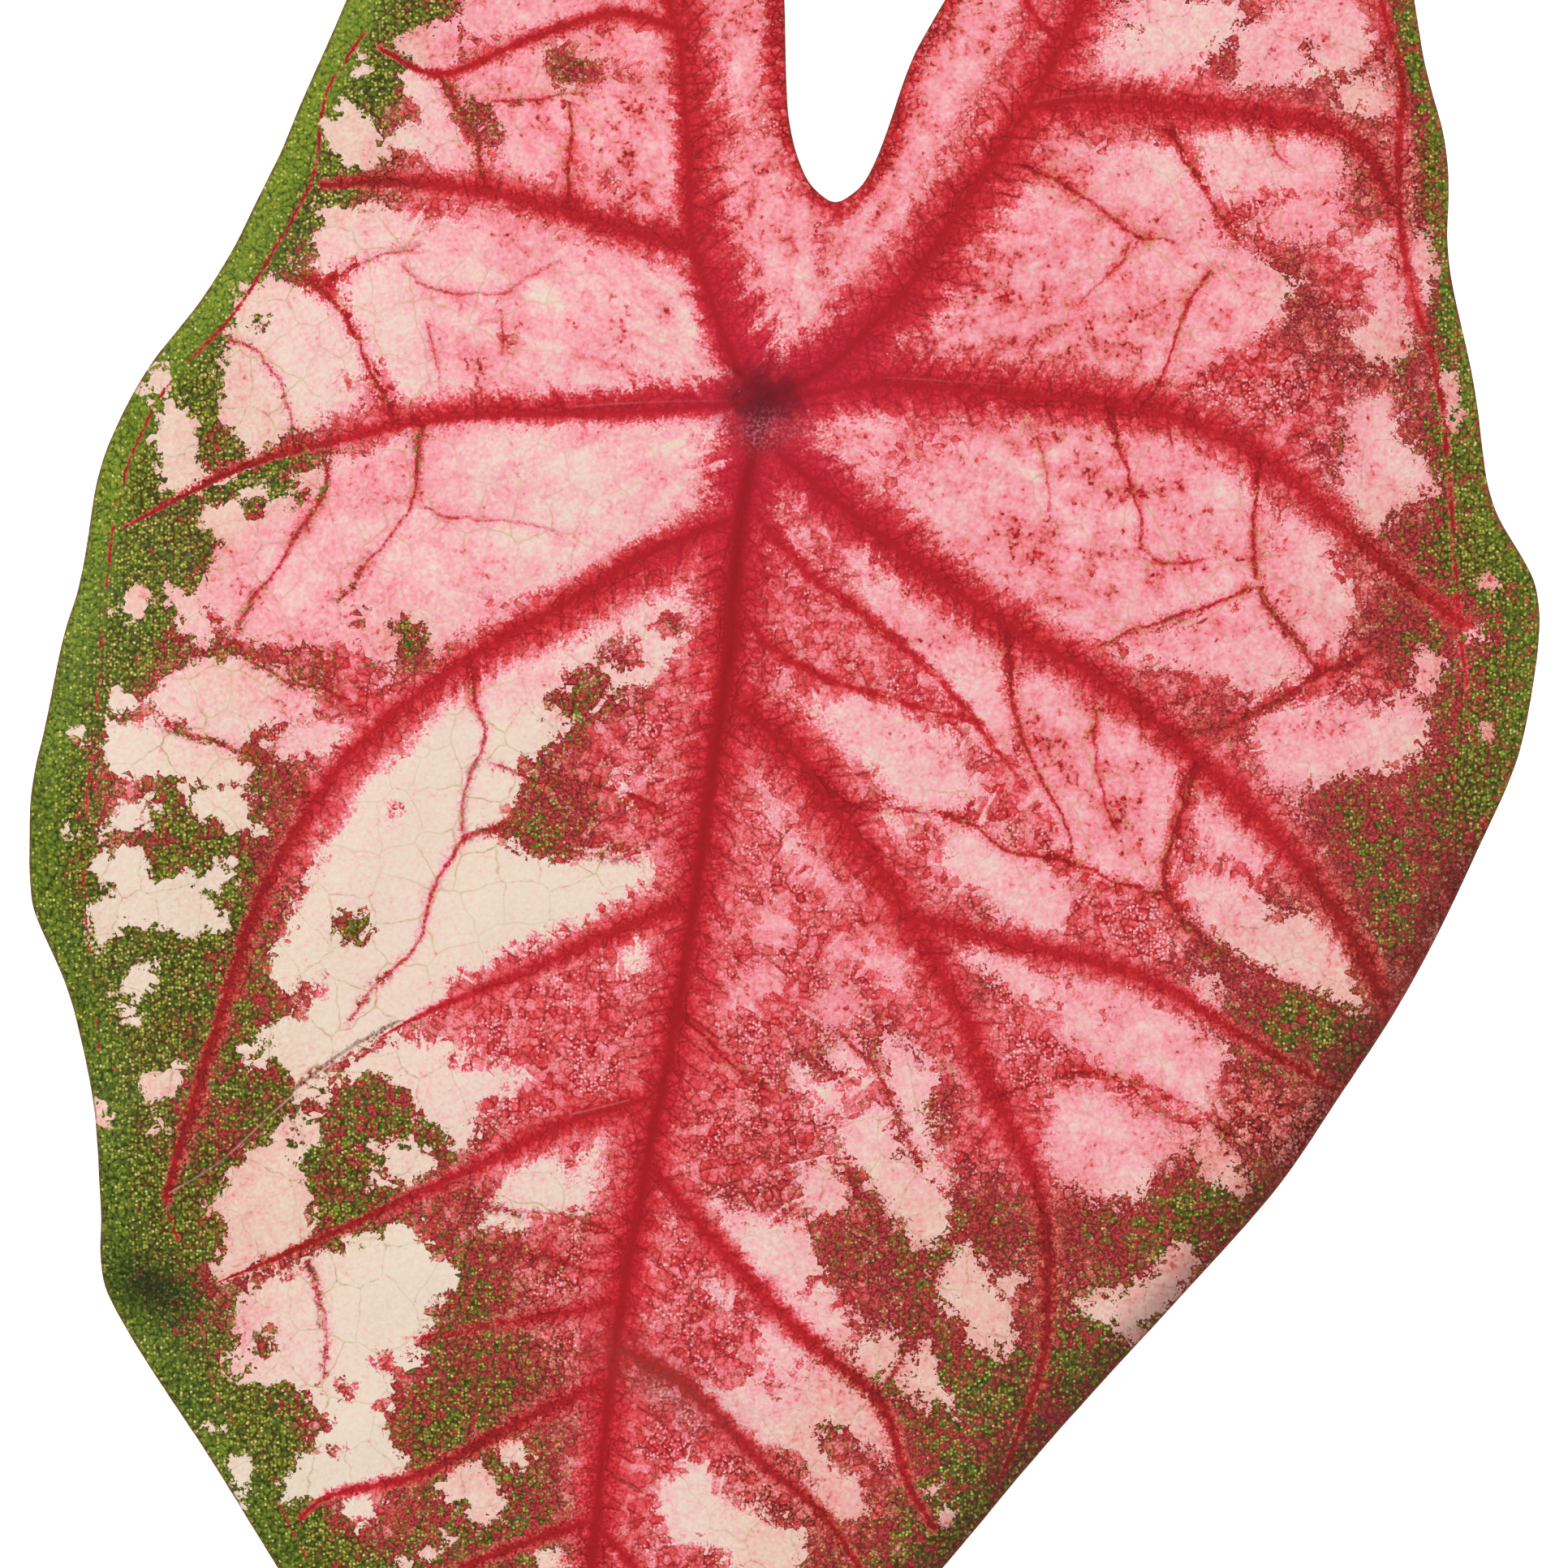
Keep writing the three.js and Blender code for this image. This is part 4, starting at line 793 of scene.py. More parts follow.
def paint(red, green, blue):
    """A screen colour, 0 to 255, as the linear colour that a shader takes."""
    def linear(part):
        part /= 255
        return part / 12.92 if part <= 0.04045 else ((part + 0.055) / 1.055) ** 2.4
    return (linear(red), linear(green), linear(blue), 1)


# Screen colours of the net, veins, ribs near the hub, grains, marks, and painted shade and highlight.
CREAM_NET = paint(184, 160, 84)
RED_NET = paint(100, 6, 12)
BROWN_NET = paint(58, 14, 4)
GREEN_NET = paint(92, 26, 20)
VEIN_RED = paint(136, 30, 40)
CRIMSON = paint(198, 30, 62)
MAROON = paint(92, 14, 30)
DARK_GRAIN = paint(112, 22, 24)
RED_GRAIN = paint(206, 66, 70)
CREASE_SHADE = paint(96, 24, 26)
CREASE_LIGHT = paint(236, 196, 180)
SILVERY_PINK = paint(216, 122, 138)
SPOT_BROWN = paint(122, 62, 50)
FOLD_SHADE = paint(24, 32, 12)
EDGE_SHADE = paint(62, 20, 16)
EDGE_BROWN = paint(104, 48, 26)
UNDERSIDE_BLOOM = paint(196, 164, 146)
UNDERSIDE_RIB = paint(196, 84, 92)

# Colours along a value: with more and more red sap, the same over green, the green, and its grains.
RED_SAP = [
    (0.0, 233, 218, 198), (0.12, 236, 208, 193), (0.28, 244, 171, 179), (0.42, 240, 137, 150),
    (0.56, 229, 86, 92), (0.7, 208, 42, 51), (0.85, 174, 24, 32), (1.0, 140, 14, 18),
]
BROWN_SAP = [
    (0.0, 233, 218, 198), (0.3, 230, 166, 152), (0.48, 212, 94, 86), (0.6, 184, 54, 42),
    (0.72, 152, 34, 24), (0.85, 118, 22, 16), (1.0, 90, 16, 12),
]
GREEN_TISSUE = [(0.28, 42, 54, 16), (0.48, 84, 98, 26), (0.64, 112, 134, 36), (0.8, 142, 150, 46)]
GREEN_GRAINS = [(0.2, 134, 150, 38), (0.6, 178, 174, 70), (0.85, 204, 188, 84), (1.0, 228, 208, 140)]


class Value:
    """An output of a shader node. Sums and products of values add the nodes that work them out."""

    def __init__(self, socket):
        self.socket = socket

    def __add__(self, other):
        return math_node("ADD", self, other)

    def __radd__(self, other):
        return math_node("ADD", other, self)

    def __sub__(self, other):
        return math_node("SUBTRACT", self, other)

    def __rsub__(self, other):
        return math_node("SUBTRACT", other, self)

    def __mul__(self, other):
        return math_node("MULTIPLY", self, other)


def new_material(name):
    """A material, its tree, which the functions below add their nodes to, and its shader."""
    material = bpy.data.materials.new(name)
    material.use_nodes = True
    return material, material.node_tree, material.node_tree.nodes["Principled BSDF"]


def feed(socket, value):
    """Gives an input a value of another node, or a plain one."""
    if isinstance(value, Value):
        tree.links.new(value.socket, socket)
    else:
        socket.default_value = value


def new_node(kind, inputs=(), **settings):
    """Adds a node with its settings, and feeds its inputs, named by number or by name."""
    added = tree.nodes.new(kind)
    for name, value in settings.items():
        setattr(added, name, value)
    for name, value in dict(inputs).items():
        feed(added.inputs[name], value)
    return added


def node(kind, inputs=(), **settings):
    """Adds a node, and gives its outputs by name and by number."""
    sockets = new_node(kind, inputs, **settings).outputs
    outputs = {socket.name: Value(socket) for socket in sockets}
    outputs.update((i, Value(socket)) for i, socket in enumerate(sockets))
    return outputs


def math_node(operation, *values):
    return node("ShaderNodeMath", enumerate(values), operation=operation)[0]


def larger(first, second):
    return math_node("MAXIMUM", first, second)


def smaller(first, second):
    return math_node("MINIMUM", first, second)


def absolute(value):
    return math_node("ABSOLUTE", value)


def vector_math(operation, *vectors):
    return node("ShaderNodeVectorMath", enumerate(vectors), operation=operation)[0]


def scaled(vector, factor):
    return node("ShaderNodeVectorMath", {0: vector, "Scale": factor}, operation="SCALE")[0]


def split(value, kind="XYZ"):
    """The three parts of a vector, or of a colour."""
    outputs = node("ShaderNodeSeparate" + kind, {0: value})
    return outputs[0], outputs[1], outputs[2]


def read_map(name):
    """The three values that write_map left on a mesh."""
    return split(node("ShaderNodeAttribute", attribute_name=name)["Vector"])


def mix(share, first, second):
    """A value between two, by a share of 0 to 1 of the second."""
    return node("ShaderNodeMix", {0: share, 2: first, 3: second})[0]


def blend(share, first, second):
    """A colour between two, by a share of 0 to 1 of the second."""
    return node("ShaderNodeMix", {0: share, 6: first, 7: second}, data_type="RGBA", clamp_factor=True)[2]


def ramp(value, stops):
    """Screen colours along a value, each with the place where it is reached."""
    ramp_node = new_node("ShaderNodeValToRGB", {0: value})
    while len(ramp_node.color_ramp.elements) < len(stops):
        ramp_node.color_ramp.elements.new(1.0)
    for element, (spot, *colour) in zip(ramp_node.color_ramp.elements, stops):
        element.position = spot
        element.color = paint(*colour)
    return Value(ramp_node.outputs[0])


def fade(value, low, high, to_low=0.0, to_high=1.0):
    """Runs smoothly from one result to another while a value runs from low to high."""
    inputs = {"Value": value, "From Min": low, "From Max": high, "To Min": to_low, "To Max": to_high}
    return node("ShaderNodeMapRange", inputs, interpolation_type="SMOOTHSTEP")[0]


def about(draw, spread):
    """A draw of 0 to 1, centred on 0 and as wide as the spread."""
    return math_node("MULTIPLY_ADD", draw, spread, -0.5 * spread)


def centred(noise):
    """Noise of 0 to 1, spread to about -1 to 1."""
    return math_node("MULTIPLY_ADD", noise, 4.0, -2.0)


def cloud(place, size, detail, output=0):
    """Noise in patches of a size, or with the output "Color" three sorts of it as a list."""
    inputs = {"Vector": place, "Scale": 1 / size, "Detail": detail, "Roughness": 0.6}
    noise = node("ShaderNodeTexNoise", inputs, noise_dimensions="2D")[output]
    return centred(noise) if output == 0 else [centred(draw) for draw in split(noise, "Color")]


def cells(place, size, feature="F1"):
    """Cells of a size, each with a draw of its own as its colour."""
    inputs = {"Vector": place, "Scale": 1 / size}
    return node("ShaderNodeTexVoronoi", inputs, voronoi_dimensions="2D", feature=feature)


tissue, tree, shader = new_material("leaf_tissue")
place = scaled(node("ShaderNodeTexCoord")["Object"], 1 / MM)
place_x, place_y, _ = split(place)
pale_map, margin_map, green_map = read_map("ground_map")
pink_map, halo_map, upper_map = read_map("tone_map")
hub_map, outer_map, depth_map = read_map("place_map")
rim_map, brown_map, rim_depth = read_map("edge_map")
rib_gap, rib_run, rib_core = read_map("rib_map")
vein_gap, _, vein_strength = read_map("vein_map")

# Uneven growth in patches of five sizes in millimetres, centred on 0 and reaching about 1 either way.
speck = cloud(place, 0.5, 1.0)
mealy = cloud(place, 0.36, 2.0, "Color")
fine = cloud(place, 1.0, 2.0)
middle = cloud(place, 2.6, 2.0)
broad = cloud(place, 8.0, 2.0)

# Streaks that run out from the hub and fade on the way.
STREAKS_ROUND = 11
STREAK_DRIFT = 0.07
way_out = vector_math("MULTIPLY", vector_math("SUBTRACT", place, (HUB[0], HUB[1], 0)), (1, 1, 0))
drift = node("ShaderNodeCombineXYZ", {2: hub_map * STREAK_DRIFT})[0]
streak_place = vector_math("ADD", scaled(vector_math("NORMALIZE", way_out), STREAKS_ROUND), drift)
streak_noise = node("ShaderNodeTexNoise", {"Vector": streak_place, "Scale": 1.0, "Detail": 3.0})[0]
streak = centred(streak_noise) * fade(hub_map, 80, 25)

# The tissue between the finest veins: cells of about 1 mm, bent a little, and grains of half that in
# them, each with its own draw of the pigments. A coarser net of 5 to 6 mm lies over both.
CELL = 1.1
GRAIN = 0.42
COARSE_CELL = 5.5
BEND_SIZE = 2.5
BEND_REACH = 1.2
bend_inputs = {"Vector": place, "Scale": 1 / BEND_SIZE, "Detail": 1.0}
bend = node("ShaderNodeTexNoise", bend_inputs, noise_dimensions="2D")["Color"]
bent_place = vector_math("ADD", place, scaled(bend, BEND_REACH))
cell_draws = split(cells(bent_place, CELL)["Color"], "Color")
cell_edge = cells(bent_place, CELL, "DISTANCE_TO_EDGE")[0] * CELL
grain = cells(place, GRAIN)
grain_draws = split(grain["Color"], "Color")
dot = fade(grain["Distance"], 0.52, 0.24)
coarse_edge = cells(bent_place, COARSE_CELL, "DISTANCE_TO_EDGE")[0] * COARSE_CELL
rib_distance = absolute(rib_gap + middle * 0.12)
vein_wave = broad * 0.4 + middle * 0.2 + fine * 0.08
vein_distance = absolute(vein_gap + vein_wave)
net = fade(cell_edge - brown_map * 0.06, 0.17, 0.02) * fade(middle * 0.6 + broad, -0.7, 0.4, 0.4, 1.1)
coarse_net = fade(coarse_edge + speck * 0.04, 0.18, 0.03)

# Side veins leave a rib on a slant, one or two millimetres apart, and fade away from it.
side_run = rib_run * 0.4 - rib_distance * 0.2 + middle * 0.04 + broad * 0.12
side_edge = node(
    "ShaderNodeTexVoronoi", {"W": side_run, "Scale": 1.0, "Randomness": 0.65},
    voronoi_dimensions="1D", feature="DISTANCE_TO_EDGE")["Distance"]
side_veins = fade(side_edge * 2.5 + speck * 0.04, 0.3, 0.03) * fade(rib_distance, 18, 8)
side_veins = side_veins * fade(fine, -0.8, 0.6, 0.7, 1.0)
tooth_place = node("ShaderNodeCombineXYZ", {0: side_run * 1.8, 1: rib_gap * 0.12})[0]
teeth = cloud(tooth_place, 1.0, 2.0)

# Where green ground begins, where a pale field begins, and where the red along the ribs ends.
green_edge = green_map - 0.42 + about(cell_draws[1], 0.3) + middle * 0.2 + fine * 0.12 + mealy[2] * 0.3
is_green = fade(green_edge, -0.12, 0.12)
bareness = fade(green_map, 0.5, 0.05)
torn = (
    pale_map + about(cell_draws[0], 1.4) + middle * 0.8 + broad * 0.5 + streak * 1.3
    + fade(teeth, 0.1, 1.2, 0.0, 2.4) * bareness * fade(margin_map, 10, 20)
    + mealy[0] * mix(bareness, fade(place_x, -20, 30, 0.45, 0.85), 1.1)
    + fine * mix(bareness, fade(place_x, -20, 30, 0.45, 0.9), 0.7))
is_pale = fade(torn, mix(bareness, -0.15, -0.8), mix(bareness, 0.15, 0.8))
ragged = 1.0 + teeth * 0.34 + middle * 0.18 + fine * 0.14 + mealy[1] * mix(bareness, 0.6, 0.34)
reached = math_node("DIVIDE", halo_map * (1.0 + green_map * 0.3), larger(ragged, 0.3))
is_halo = fade(reached, 1.5, 0.65)

# The share of red sap, from 0 for none to 1 in a rib.
spatter = grain_draws[1] * 0.8 + fine * 0.25 + middle * 0.25 + broad * 0.25 + pink_map * 0.3
field_red = (
    pink_map * (0.4 + middle * 0.1 + broad * 0.13 + streak * 0.17) + 0.02 + about(grain_draws[2], 0.11)
    + fine * 0.04 + speck * 0.03 + fade(spatter, 0.95, 1.4) * 0.17)
pale_grain = grain_draws[0] * 1.6 + middle + broad * 0.8
speckled = fade(pale_grain, 1.15, 1.8) * dot * fade(brown_map, 1.2, 0.2, 0.9, 1.0)
near_hub = fade(hub_map, 60, 15)
cell_middle = fade(cell_edge, 0.1, 0.5)
ground_red = (
    0.6 - near_hub * 0.05 + about(cell_draws[2], 0.2) - cell_middle * 0.06
    + mealy[0] * fade(brown_map, 0.0, 1.0, 0.11, 0.18) + middle * 0.08 + streak * 0.06 - speckled * 0.32)
red = mix(is_pale, ground_red, field_red)
notch_rim = fade(margin_map + fine * 0.7, 3.2, 0.8) * fade(outer_map, 1.0, 0.0)
red = red + notch_rim * (0.2 + about(grain_draws[0], 0.2))
halo_red = (
    fade(reached, 1.05, 0.1, 0.555, 0.78) + near_hub * 0.04 + fine * 0.03 + about(cell_draws[2], 0.1)
    - cell_middle * 0.03 + mealy[2] * mix(bareness, 0.13, 0.08))
red = mix(is_halo, red, halo_red)
in_red = fade(red, 0.42, 0.6)
near_vein = fade(vein_distance, 5.0, 0.5) * fade(vein_strength, 0.0, 0.5)
lines = larger(
    net * mix(in_red, 0.3, mix(is_halo, 1.0, 0.6)),
    coarse_net * mix(near_vein, 0.8, mix(in_red, 1.8, 0.8)))
lines = larger(lines, side_veins * fade(rib_distance, 0.8, 4.0, 0.6, 1.0) * in_red)
vein_line = fade(vein_distance + speck * 0.14 + fine * 0.12, fade(vein_strength, 0.4, 1.0, 0.3, 0.5), 0.0)
vein_line = vein_line * fade(fine + mealy[1], -1.2, 0.6, 0.35, 1.0)
vein = vein_line * 0.72 + fade(vein_distance + mealy[0] * 0.8, 1.6, 0.1) * 0.18
red = red + vein * larger(vein_strength, 0.0)
rib_streaks = cloud(node("ShaderNodeCombineXYZ", {0: rib_run * 0.12, 1: rib_gap})[0], 0.7, 2.0)
core_width = larger(rib_core, 0.03)
beyond_core = rib_distance - rib_core + speck * 0.1 + rib_streaks * 0.14 + about(grain_draws[1], 0.3)
core = fade(beyond_core, core_width * 0.3 + 0.16, core_width * -0.9)
core_red = smaller(rib_core * 0.12 + 0.83, 1.0)
broken = fade(fine + middle, -1.2, 0.4, fade(rib_core, 0.02, 0.25, 0.2, 1.0), 1.0)
core = core * fade(rib_core, -0.06, 0.04) * broken
red = mix(core, smaller(red, 0.9), core_red + rib_streaks * 0.03)
red_colour = ramp(red, RED_SAP)
browned = fade(green_map * 0.7 + brown_map + mealy[1] * 0.27, 0.2, 1.2, 0.0, 0.7)
red_colour = blend(browned, red_colour, ramp(red, BROWN_SAP))
line_colour = blend(in_red, CREAM_NET, blend(browned, RED_NET, BROWN_NET))
line_share = lines * mix(in_red, 0.3, mix(browned, 0.72, 1.0))
red_colour = blend(line_share * fade(core, 1.0, 0.0), red_colour, line_colour)
red_colour = blend(vein_line * 0.4 * fade(vein_strength, 0.0, 0.7), red_colour, VEIN_RED)
crimson_share = fade(hub_map, 34, 5, 0.0, 0.4) * fade(core, 1.0, 0.0, 0.3, 1.0)
red_colour = blend(crimson_share * in_red, red_colour, CRIMSON)
hub_stain = fade(hub_map + middle * 1.4, 7.5, 0.8)
red_colour = blend(hub_stain * 0.85, red_colour, MAROON)

# Green: dark between bright grains, smoother in the outer band of the margin, and with brown grains
# where red sap reaches.
band = fade(rim_depth + fine * 0.12, 0.5, 0.2) * fade(rim_map, 0.3, 0.8)
band = band * fade(place_x, 40, -40, 0.4, 1.0)
green_tone = 0.46 + speck * 0.12 + fine * 0.1 - net * 0.16 + broad * 0.06
green_tone = green_tone + band * fade(place_y, -60, 90, 0.04, 0.2)
bright = dot * fade(grain_draws[0] - band * 0.3, 0.4, 0.6)
green_colour = blend(bright, ramp(green_tone, GREEN_TISSUE), ramp(grain_draws[2], GREEN_GRAINS))
brown_patch = (
    fade(green_map, 1.6, 0.5, -0.4, 0.2) + about(cell_draws[1], 0.6) + middle * 0.25
    + about(grain_draws[1], 0.7) + mealy[1] * 0.35 + fine * 0.2 + fade(place_x, -70, 70, -0.2, 0.12)
    + fade(margin_map, 7, 18, 0.0, 0.22))
brown_grain = blend(fade(mealy[0], -0.8, 0.8), DARK_GRAIN, RED_GRAIN)
green_colour = blend(fade(brown_patch, 0.0, 0.3) * fade(band, 1.0, 0.2), green_colour, brown_grain)
green_colour = blend(net * 0.6 * fade(band, 0.8, 0.0), green_colour, GREEN_NET)
green_share = fade(is_pale, 1.0, 0.0) * is_green * fade(is_halo, 0.9, 0.2)

# Small green flecks keep to the thin veins and to the edges of the pale fields.
fleck_spot = fade(fine + broad * 0.5 + mealy[2] * 0.65, 0.12, 0.55)
field_edge = fade(torn, -3.4, -0.8) * fade(torn, 0.3, -0.2)
near_line = larger(fade(vein_distance, 1.0, 0.3), larger(field_edge, coarse_net * mix(in_red, 0.3, 1.0)))
fleck = near_line * fleck_spot * fade(hub_map, 12, 40) * fade(green_map, -0.05, 0.3, 0.15, 1.0)
green_share = larger(green_share, fleck * fade(is_halo, 0.6, 0.1))
colour = blend(green_share, red_colour, green_colour)

# A crease: a painted highlight with painted shade beside it. Then the bloom, brown spot, fold shade.
fold_shade_map, bloom_map, brown_spot_map = read_map("shade_and_spot_map")
painted_crease_light = fade(vein_strength, -0.2, -1.0) * fade(broad, -0.6, 0.6, 0.3, 1.0)
colour = blend(fade(absolute(vein_gap + 0.4), 0.35, 0.05) * painted_crease_light * 0.7, colour, CREASE_SHADE)
colour = blend(fade(absolute(vein_gap), 0.2, 0.02) * painted_crease_light * 0.5, colour, CREASE_LIGHT)
colour = blend(bloom_map * fade(mealy[0] + speck, -0.4, 1.2, 0.05, 0.65), colour, SILVERY_PINK)
colour = blend(brown_spot_map * fade(fine + mealy[0], -0.8, 1.0, 0.2, 0.75), colour, SPOT_BROWN)
# Painted shade in the fold of the left margin.
colour = blend(fold_shade_map * 0.85, colour, FOLD_SHADE)
# Painted shade along the edge where the margin bends down, away from the green rim and the notch.
painted_edge_shade = fade(margin_map, 6.0, 0.3) * fade(rim_map, 0.6, 0.2) * fade(outer_map, 0.4, 0.9)
colour = blend(painted_edge_shade * 0.55, colour, EDGE_SHADE)
colour = blend(fade(margin_map, 0.5, 0.15, 0.0, 0.7), colour, EDGE_BROWN)

# The underside is duller, with a grey bloom, and its ribs are pink.
under_colour = blend(0.45, colour, UNDERSIDE_BLOOM)
under_colour = blend(fade(depth_map, 0.35, 1.4, 0.0, 0.75), under_colour, UNDERSIDE_RIB)
colour = blend(fade(upper_map, 0.6, 0.4), colour, under_colour)

# The tissue stands up a little between the finest veins, and is glossier where it is green.
RELIEF = 0.12
RED_ROUGHNESS = 0.55
GREEN_ROUGHNESS = 0.45
SHEEN = 0.12
height = cell_middle - vein_line * 0.8 + fine * 0.25
tissue_bump = node("ShaderNodeBump", {"Height": height, "Strength": 0.5, "Distance": RELIEF * MM})[0]
feed(shader.inputs["Base Color"], colour)
feed(shader.inputs["Normal"], tissue_bump)
feed(shader.inputs["Roughness"], mix(green_share, RED_ROUGHNESS, GREEN_ROUGHNESS) + fine * 0.05)
shader.inputs["Specular IOR Level"].default_value = SHEEN

blade.data.materials.clear()
blade.data.materials.append(tissue)
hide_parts("blade")
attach(blade, "root")

# ---------------------------------------------------------------------------------------------------
# Leaf stalk. A round, fleshy stalk, cut off short with a knife. It grows out of the underside where the
# ribs meet, bends over, and lies under the notch. Red-brown skin, drawn out in fine lengthwise fibres.

SKIN = [(0.2, 74, 22, 26), (0.42, 118, 44, 38), (0.6, 150, 88, 58), (0.85, 178, 150, 92)]
FRECKLE = paint(60, 16, 22)
PALE_FLESH = paint(224, 206, 158)
DEEP_FLESH = paint(196, 178, 116)
STRAND = paint(150, 92, 56)
STALK_RADIUS = 2.8
STALK_ROOT = 0.4
STALK_DROP = 4.8
STALK_BEND = 7.2
STALK_RUN = 9.5
STALK_SIDES = 32
BEND_STEPS = 8
FIBRE_COUNT = 22
FIBRE_RISE = 0.05
FIBRE_TWIST = 0.05
CUT_RIM = 0.3
CUT_SAG = 0.15
CUT_STEP = 0.5

# How far each part of the collar reaches down, and its radius there.
COLLAR_RINGS = [(STALK_ROOT, STALK_COLLAR), (1.2, 3.1), (1.8, 2.85), (1.8, STALK_RADIUS)]

stalk_x, stalk_y = HUB
joint_height = HUB_LIFT - HUB_DEPTH
elbow_height = joint_height - STALK_DROP
bpy.ops.object.select_all(action="DESELECT")
bpy.ops.mesh.primitive_circle_add(
    vertices=STALK_SIDES, radius=(STALK_COLLAR + STALK_ROOT) * MM, fill_type="NGON",
    location=(stalk_x * MM, stalk_y * MM, (joint_height + STALK_ROOT) * MM))
stalk = bpy.context.active_object
stalk.name = "leaf_stalk"
bpy.ops.object.transform_apply(location=True, rotation=True, scale=True)
bpy.ops.object.mode_set(mode="EDIT")
bpy.ops.mesh.select_all(action="SELECT")

# The collar narrows on the way down, then the ring is spun round the elbow and drawn out along the run.
ring_radius = STALK_COLLAR + STALK_ROOT
for drop, radius in COLLAR_RINGS:
    bpy.ops.mesh.extrude_region_move(TRANSFORM_OT_translate={"value": (0, 0, -drop * MM)})
    bpy.ops.transform.resize(value=(radius / ring_radius, radius / ring_radius, 1))
    ring_radius = radius
bpy.ops.mesh.spin(
    steps=BEND_STEPS, angle=math.radians(-90), axis=(1, 0, 0),
    center=(stalk_x * MM, (stalk_y + STALK_BEND) * MM, elbow_height * MM))
for _ in range(3):
    bpy.ops.mesh.extrude_region_move(TRANSFORM_OT_translate={"value": (0, STALK_RUN / 3 * MM, 0)})
bpy.ops.mesh.inset(thickness=CUT_RIM * MM, depth=0)
bpy.ops.mesh.inset(thickness=CUT_RIM * MM, depth=-CUT_SAG * MM)
for _ in range(3):
    bpy.ops.mesh.inset(thickness=CUT_STEP * MM, depth=0)
bpy.ops.mesh.select_all(action="SELECT")
bpy.ops.mesh.normals_make_consistent(inside=False)
bpy.ops.mesh.select_all(action="DESELECT")
bpy.ops.object.mode_set(mode="OBJECT")
make_finer(stalk)

# Each place on the skin as it lay while the stalk was straight: across, across, and along from the joint.
points = read_values(stalk.data.vertices, "co", 3) / MM
across = points[:, 0] - stalk_x
forward = points[:, 1] - stalk_y
bend_length = math.pi / 2 * STALK_BEND
from_elbow = np.hypot(forward - STALK_BEND, points[:, 2] - elbow_height)
bend_angle = np.arctan2(elbow_height - points[:, 2], STALK_BEND - forward)
in_run = forward > STALK_BEND
in_bend = ~in_run & (points[:, 2] < elbow_height)
outward = np.where(in_bend, from_elbow - STALK_BEND, -forward)
outward = np.where(in_run, elbow_height - STALK_BEND - points[:, 2], outward)
along = np.where(in_bend, STALK_DROP + STALK_BEND * bend_angle, joint_height - points[:, 2])
along = np.where(in_run, STALK_DROP + bend_length + forward - STALK_BEND, along)

# Lengthwise fibres stand a little out of the skin, uneven in height, and fade at the joint and the cut.
around = np.arctan2(across, outward)
swell = np.sin(FIBRE_COUNT * around + FIBRE_TWIST * along) * (0.7 + 0.3 * np.sin(3 * around + 0.4 * along))
swell = swell * np.clip(along / 6, 0, 1) * (np.hypot(across, outward) > STALK_RADIUS - CUT_RIM)
points += FIBRE_RISE * swell[:, None] * read_values(stalk.data.vertices, "normal", 3)
stalk.data.vertices.foreach_set("co", (points * MM).ravel())
write_map(stalk, "skin_place", "POINT", across, outward, along)
stalk.data.shade_smooth()

stalk_skin, tree, shader = new_material("stalk_skin")
skin = node("ShaderNodeAttribute", attribute_name="skin_place")["Vector"]
drawn_out = vector_math("MULTIPLY", skin, (1, 1, 0.12))
streaks, blotches, freckles = (
    node("ShaderNodeTexNoise", {"Vector": vector, "Scale": scale, "Detail": detail})[0]
    for vector, scale, detail in ((drawn_out, 1.6, 3.0), (skin, 0.35, 3.0), (drawn_out, 5.0, 2.0)))
section_x, section_y, down = split(skin)
off_axis = math_node("SQRT", section_x * section_x + section_y * section_y)
skin_tone = streaks * 0.9 + blotches * 0.5 + down * 0.008 - 0.28
skin_colour = blend(fade(freckles, 0.58, 0.68, 0.0, 0.6), ramp(skin_tone, SKIN), FRECKLE)
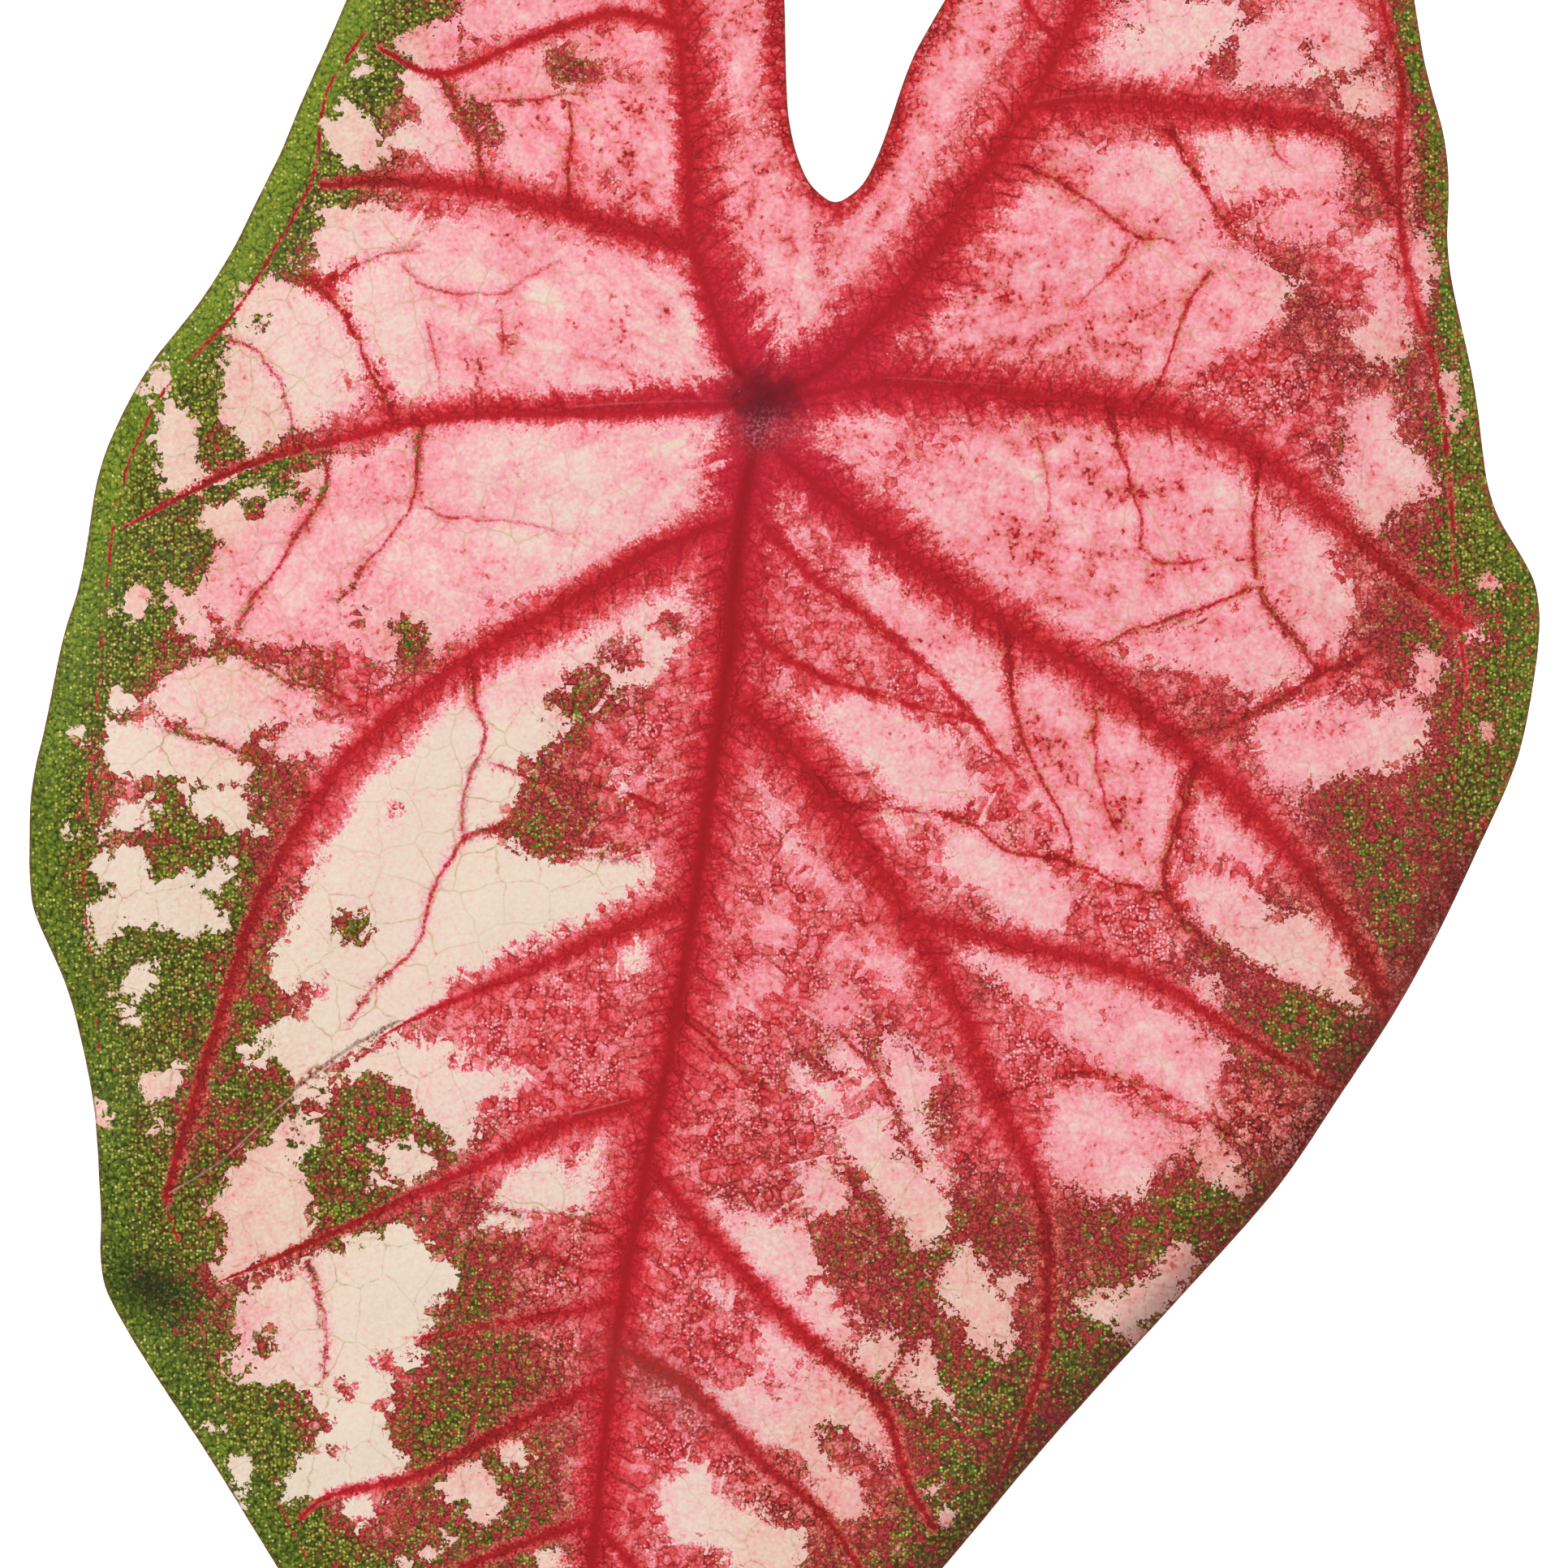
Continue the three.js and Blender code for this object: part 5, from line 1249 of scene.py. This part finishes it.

# The cut shows pale, wet flesh, dotted all over with brown strands.
strand = cells(skin, 0.8)
strand_dot = fade(strand["Distance"], 0.34, 0.16)
flesh = blend(blotches * 0.6, PALE_FLESH, DEEP_FLESH)
flesh = blend(strand_dot * 0.7, flesh, STRAND)
stalk_length = STALK_DROP + bend_length + STALK_RUN
is_cut = fade(down, stalk_length - 0.25, stalk_length - 0.1) * fade(off_axis, 2.6, 2.4)
stalk_colour = blend(is_cut, skin_colour, flesh)
feed(shader.inputs["Base Color"], stalk_colour)
feed(shader.inputs["Roughness"], mix(is_cut, fade(streaks, 0.3, 0.7, 0.38, 0.55), 0.3))
skin_bump = node("ShaderNodeBump", {"Height": streaks, "Strength": 0.35, "Distance": 0.1 * MM})[0]
feed(shader.inputs["Normal"], skin_bump)
stalk.data.materials.append(stalk_skin)
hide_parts("petiole")
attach(stalk, "root")

# ---------------------------------------------------------------------------------------------------
# Surface and light. A plain near-white table, a bright even sky, and two broad soft lamps.

TABLE_SIZE = 4
TABLE_DROP = 0.2 * MM
SKY_STRENGTH = 0.78

bpy.ops.mesh.primitive_plane_add(size=TABLE_SIZE, location=(0, 0, -TABLE_DROP))
table = bpy.context.active_object
table.name = "table"
table_white, tree, shader = new_material("table_white")
mottle = cloud(node("ShaderNodeTexCoord")["Object"], 0.05, 2.0)
feed(shader.inputs["Base Color"], blend(mottle, paint(250, 250, 250), paint(253, 253, 253)))
shader.inputs["Roughness"].default_value = 0.8
shader.inputs["Specular IOR Level"].default_value = 0.1
shader.inputs["Emission Color"].default_value = (1, 1, 1, 1)
shader.inputs["Emission Strength"].default_value = 0.8
table.data.materials.append(table_white)

sky = bpy.data.worlds.new("sky")
sky.use_nodes = True
sky.node_tree.nodes["Background"].inputs["Color"].default_value = (1, 1, 1, 1)
sky.node_tree.nodes["Background"].inputs["Strength"].default_value = SKY_STRENGTH
bpy.context.scene.world = sky
bpy.context.scene.view_settings.view_transform = "Standard"


def add_lamp(name, place, size, power):
    lamp_data = bpy.data.lights.new(name, "AREA")
    lamp_data.shape = "DISK"
    lamp_data.size = size
    lamp_data.energy = power
    lamp = bpy.data.objects.new(name, lamp_data)
    lamp.location = place
    lamp.rotation_euler = (-Vector(place)).to_track_quat("-Z", "Y").to_euler()
    bpy.context.scene.collection.objects.link(lamp)


add_lamp("soft_lamp_left", (-1.0, 0.9, 1.3), size=0.9, power=9)
add_lamp("soft_lamp_right", (1.2, -0.5, 1.6), size=1.2, power=5)
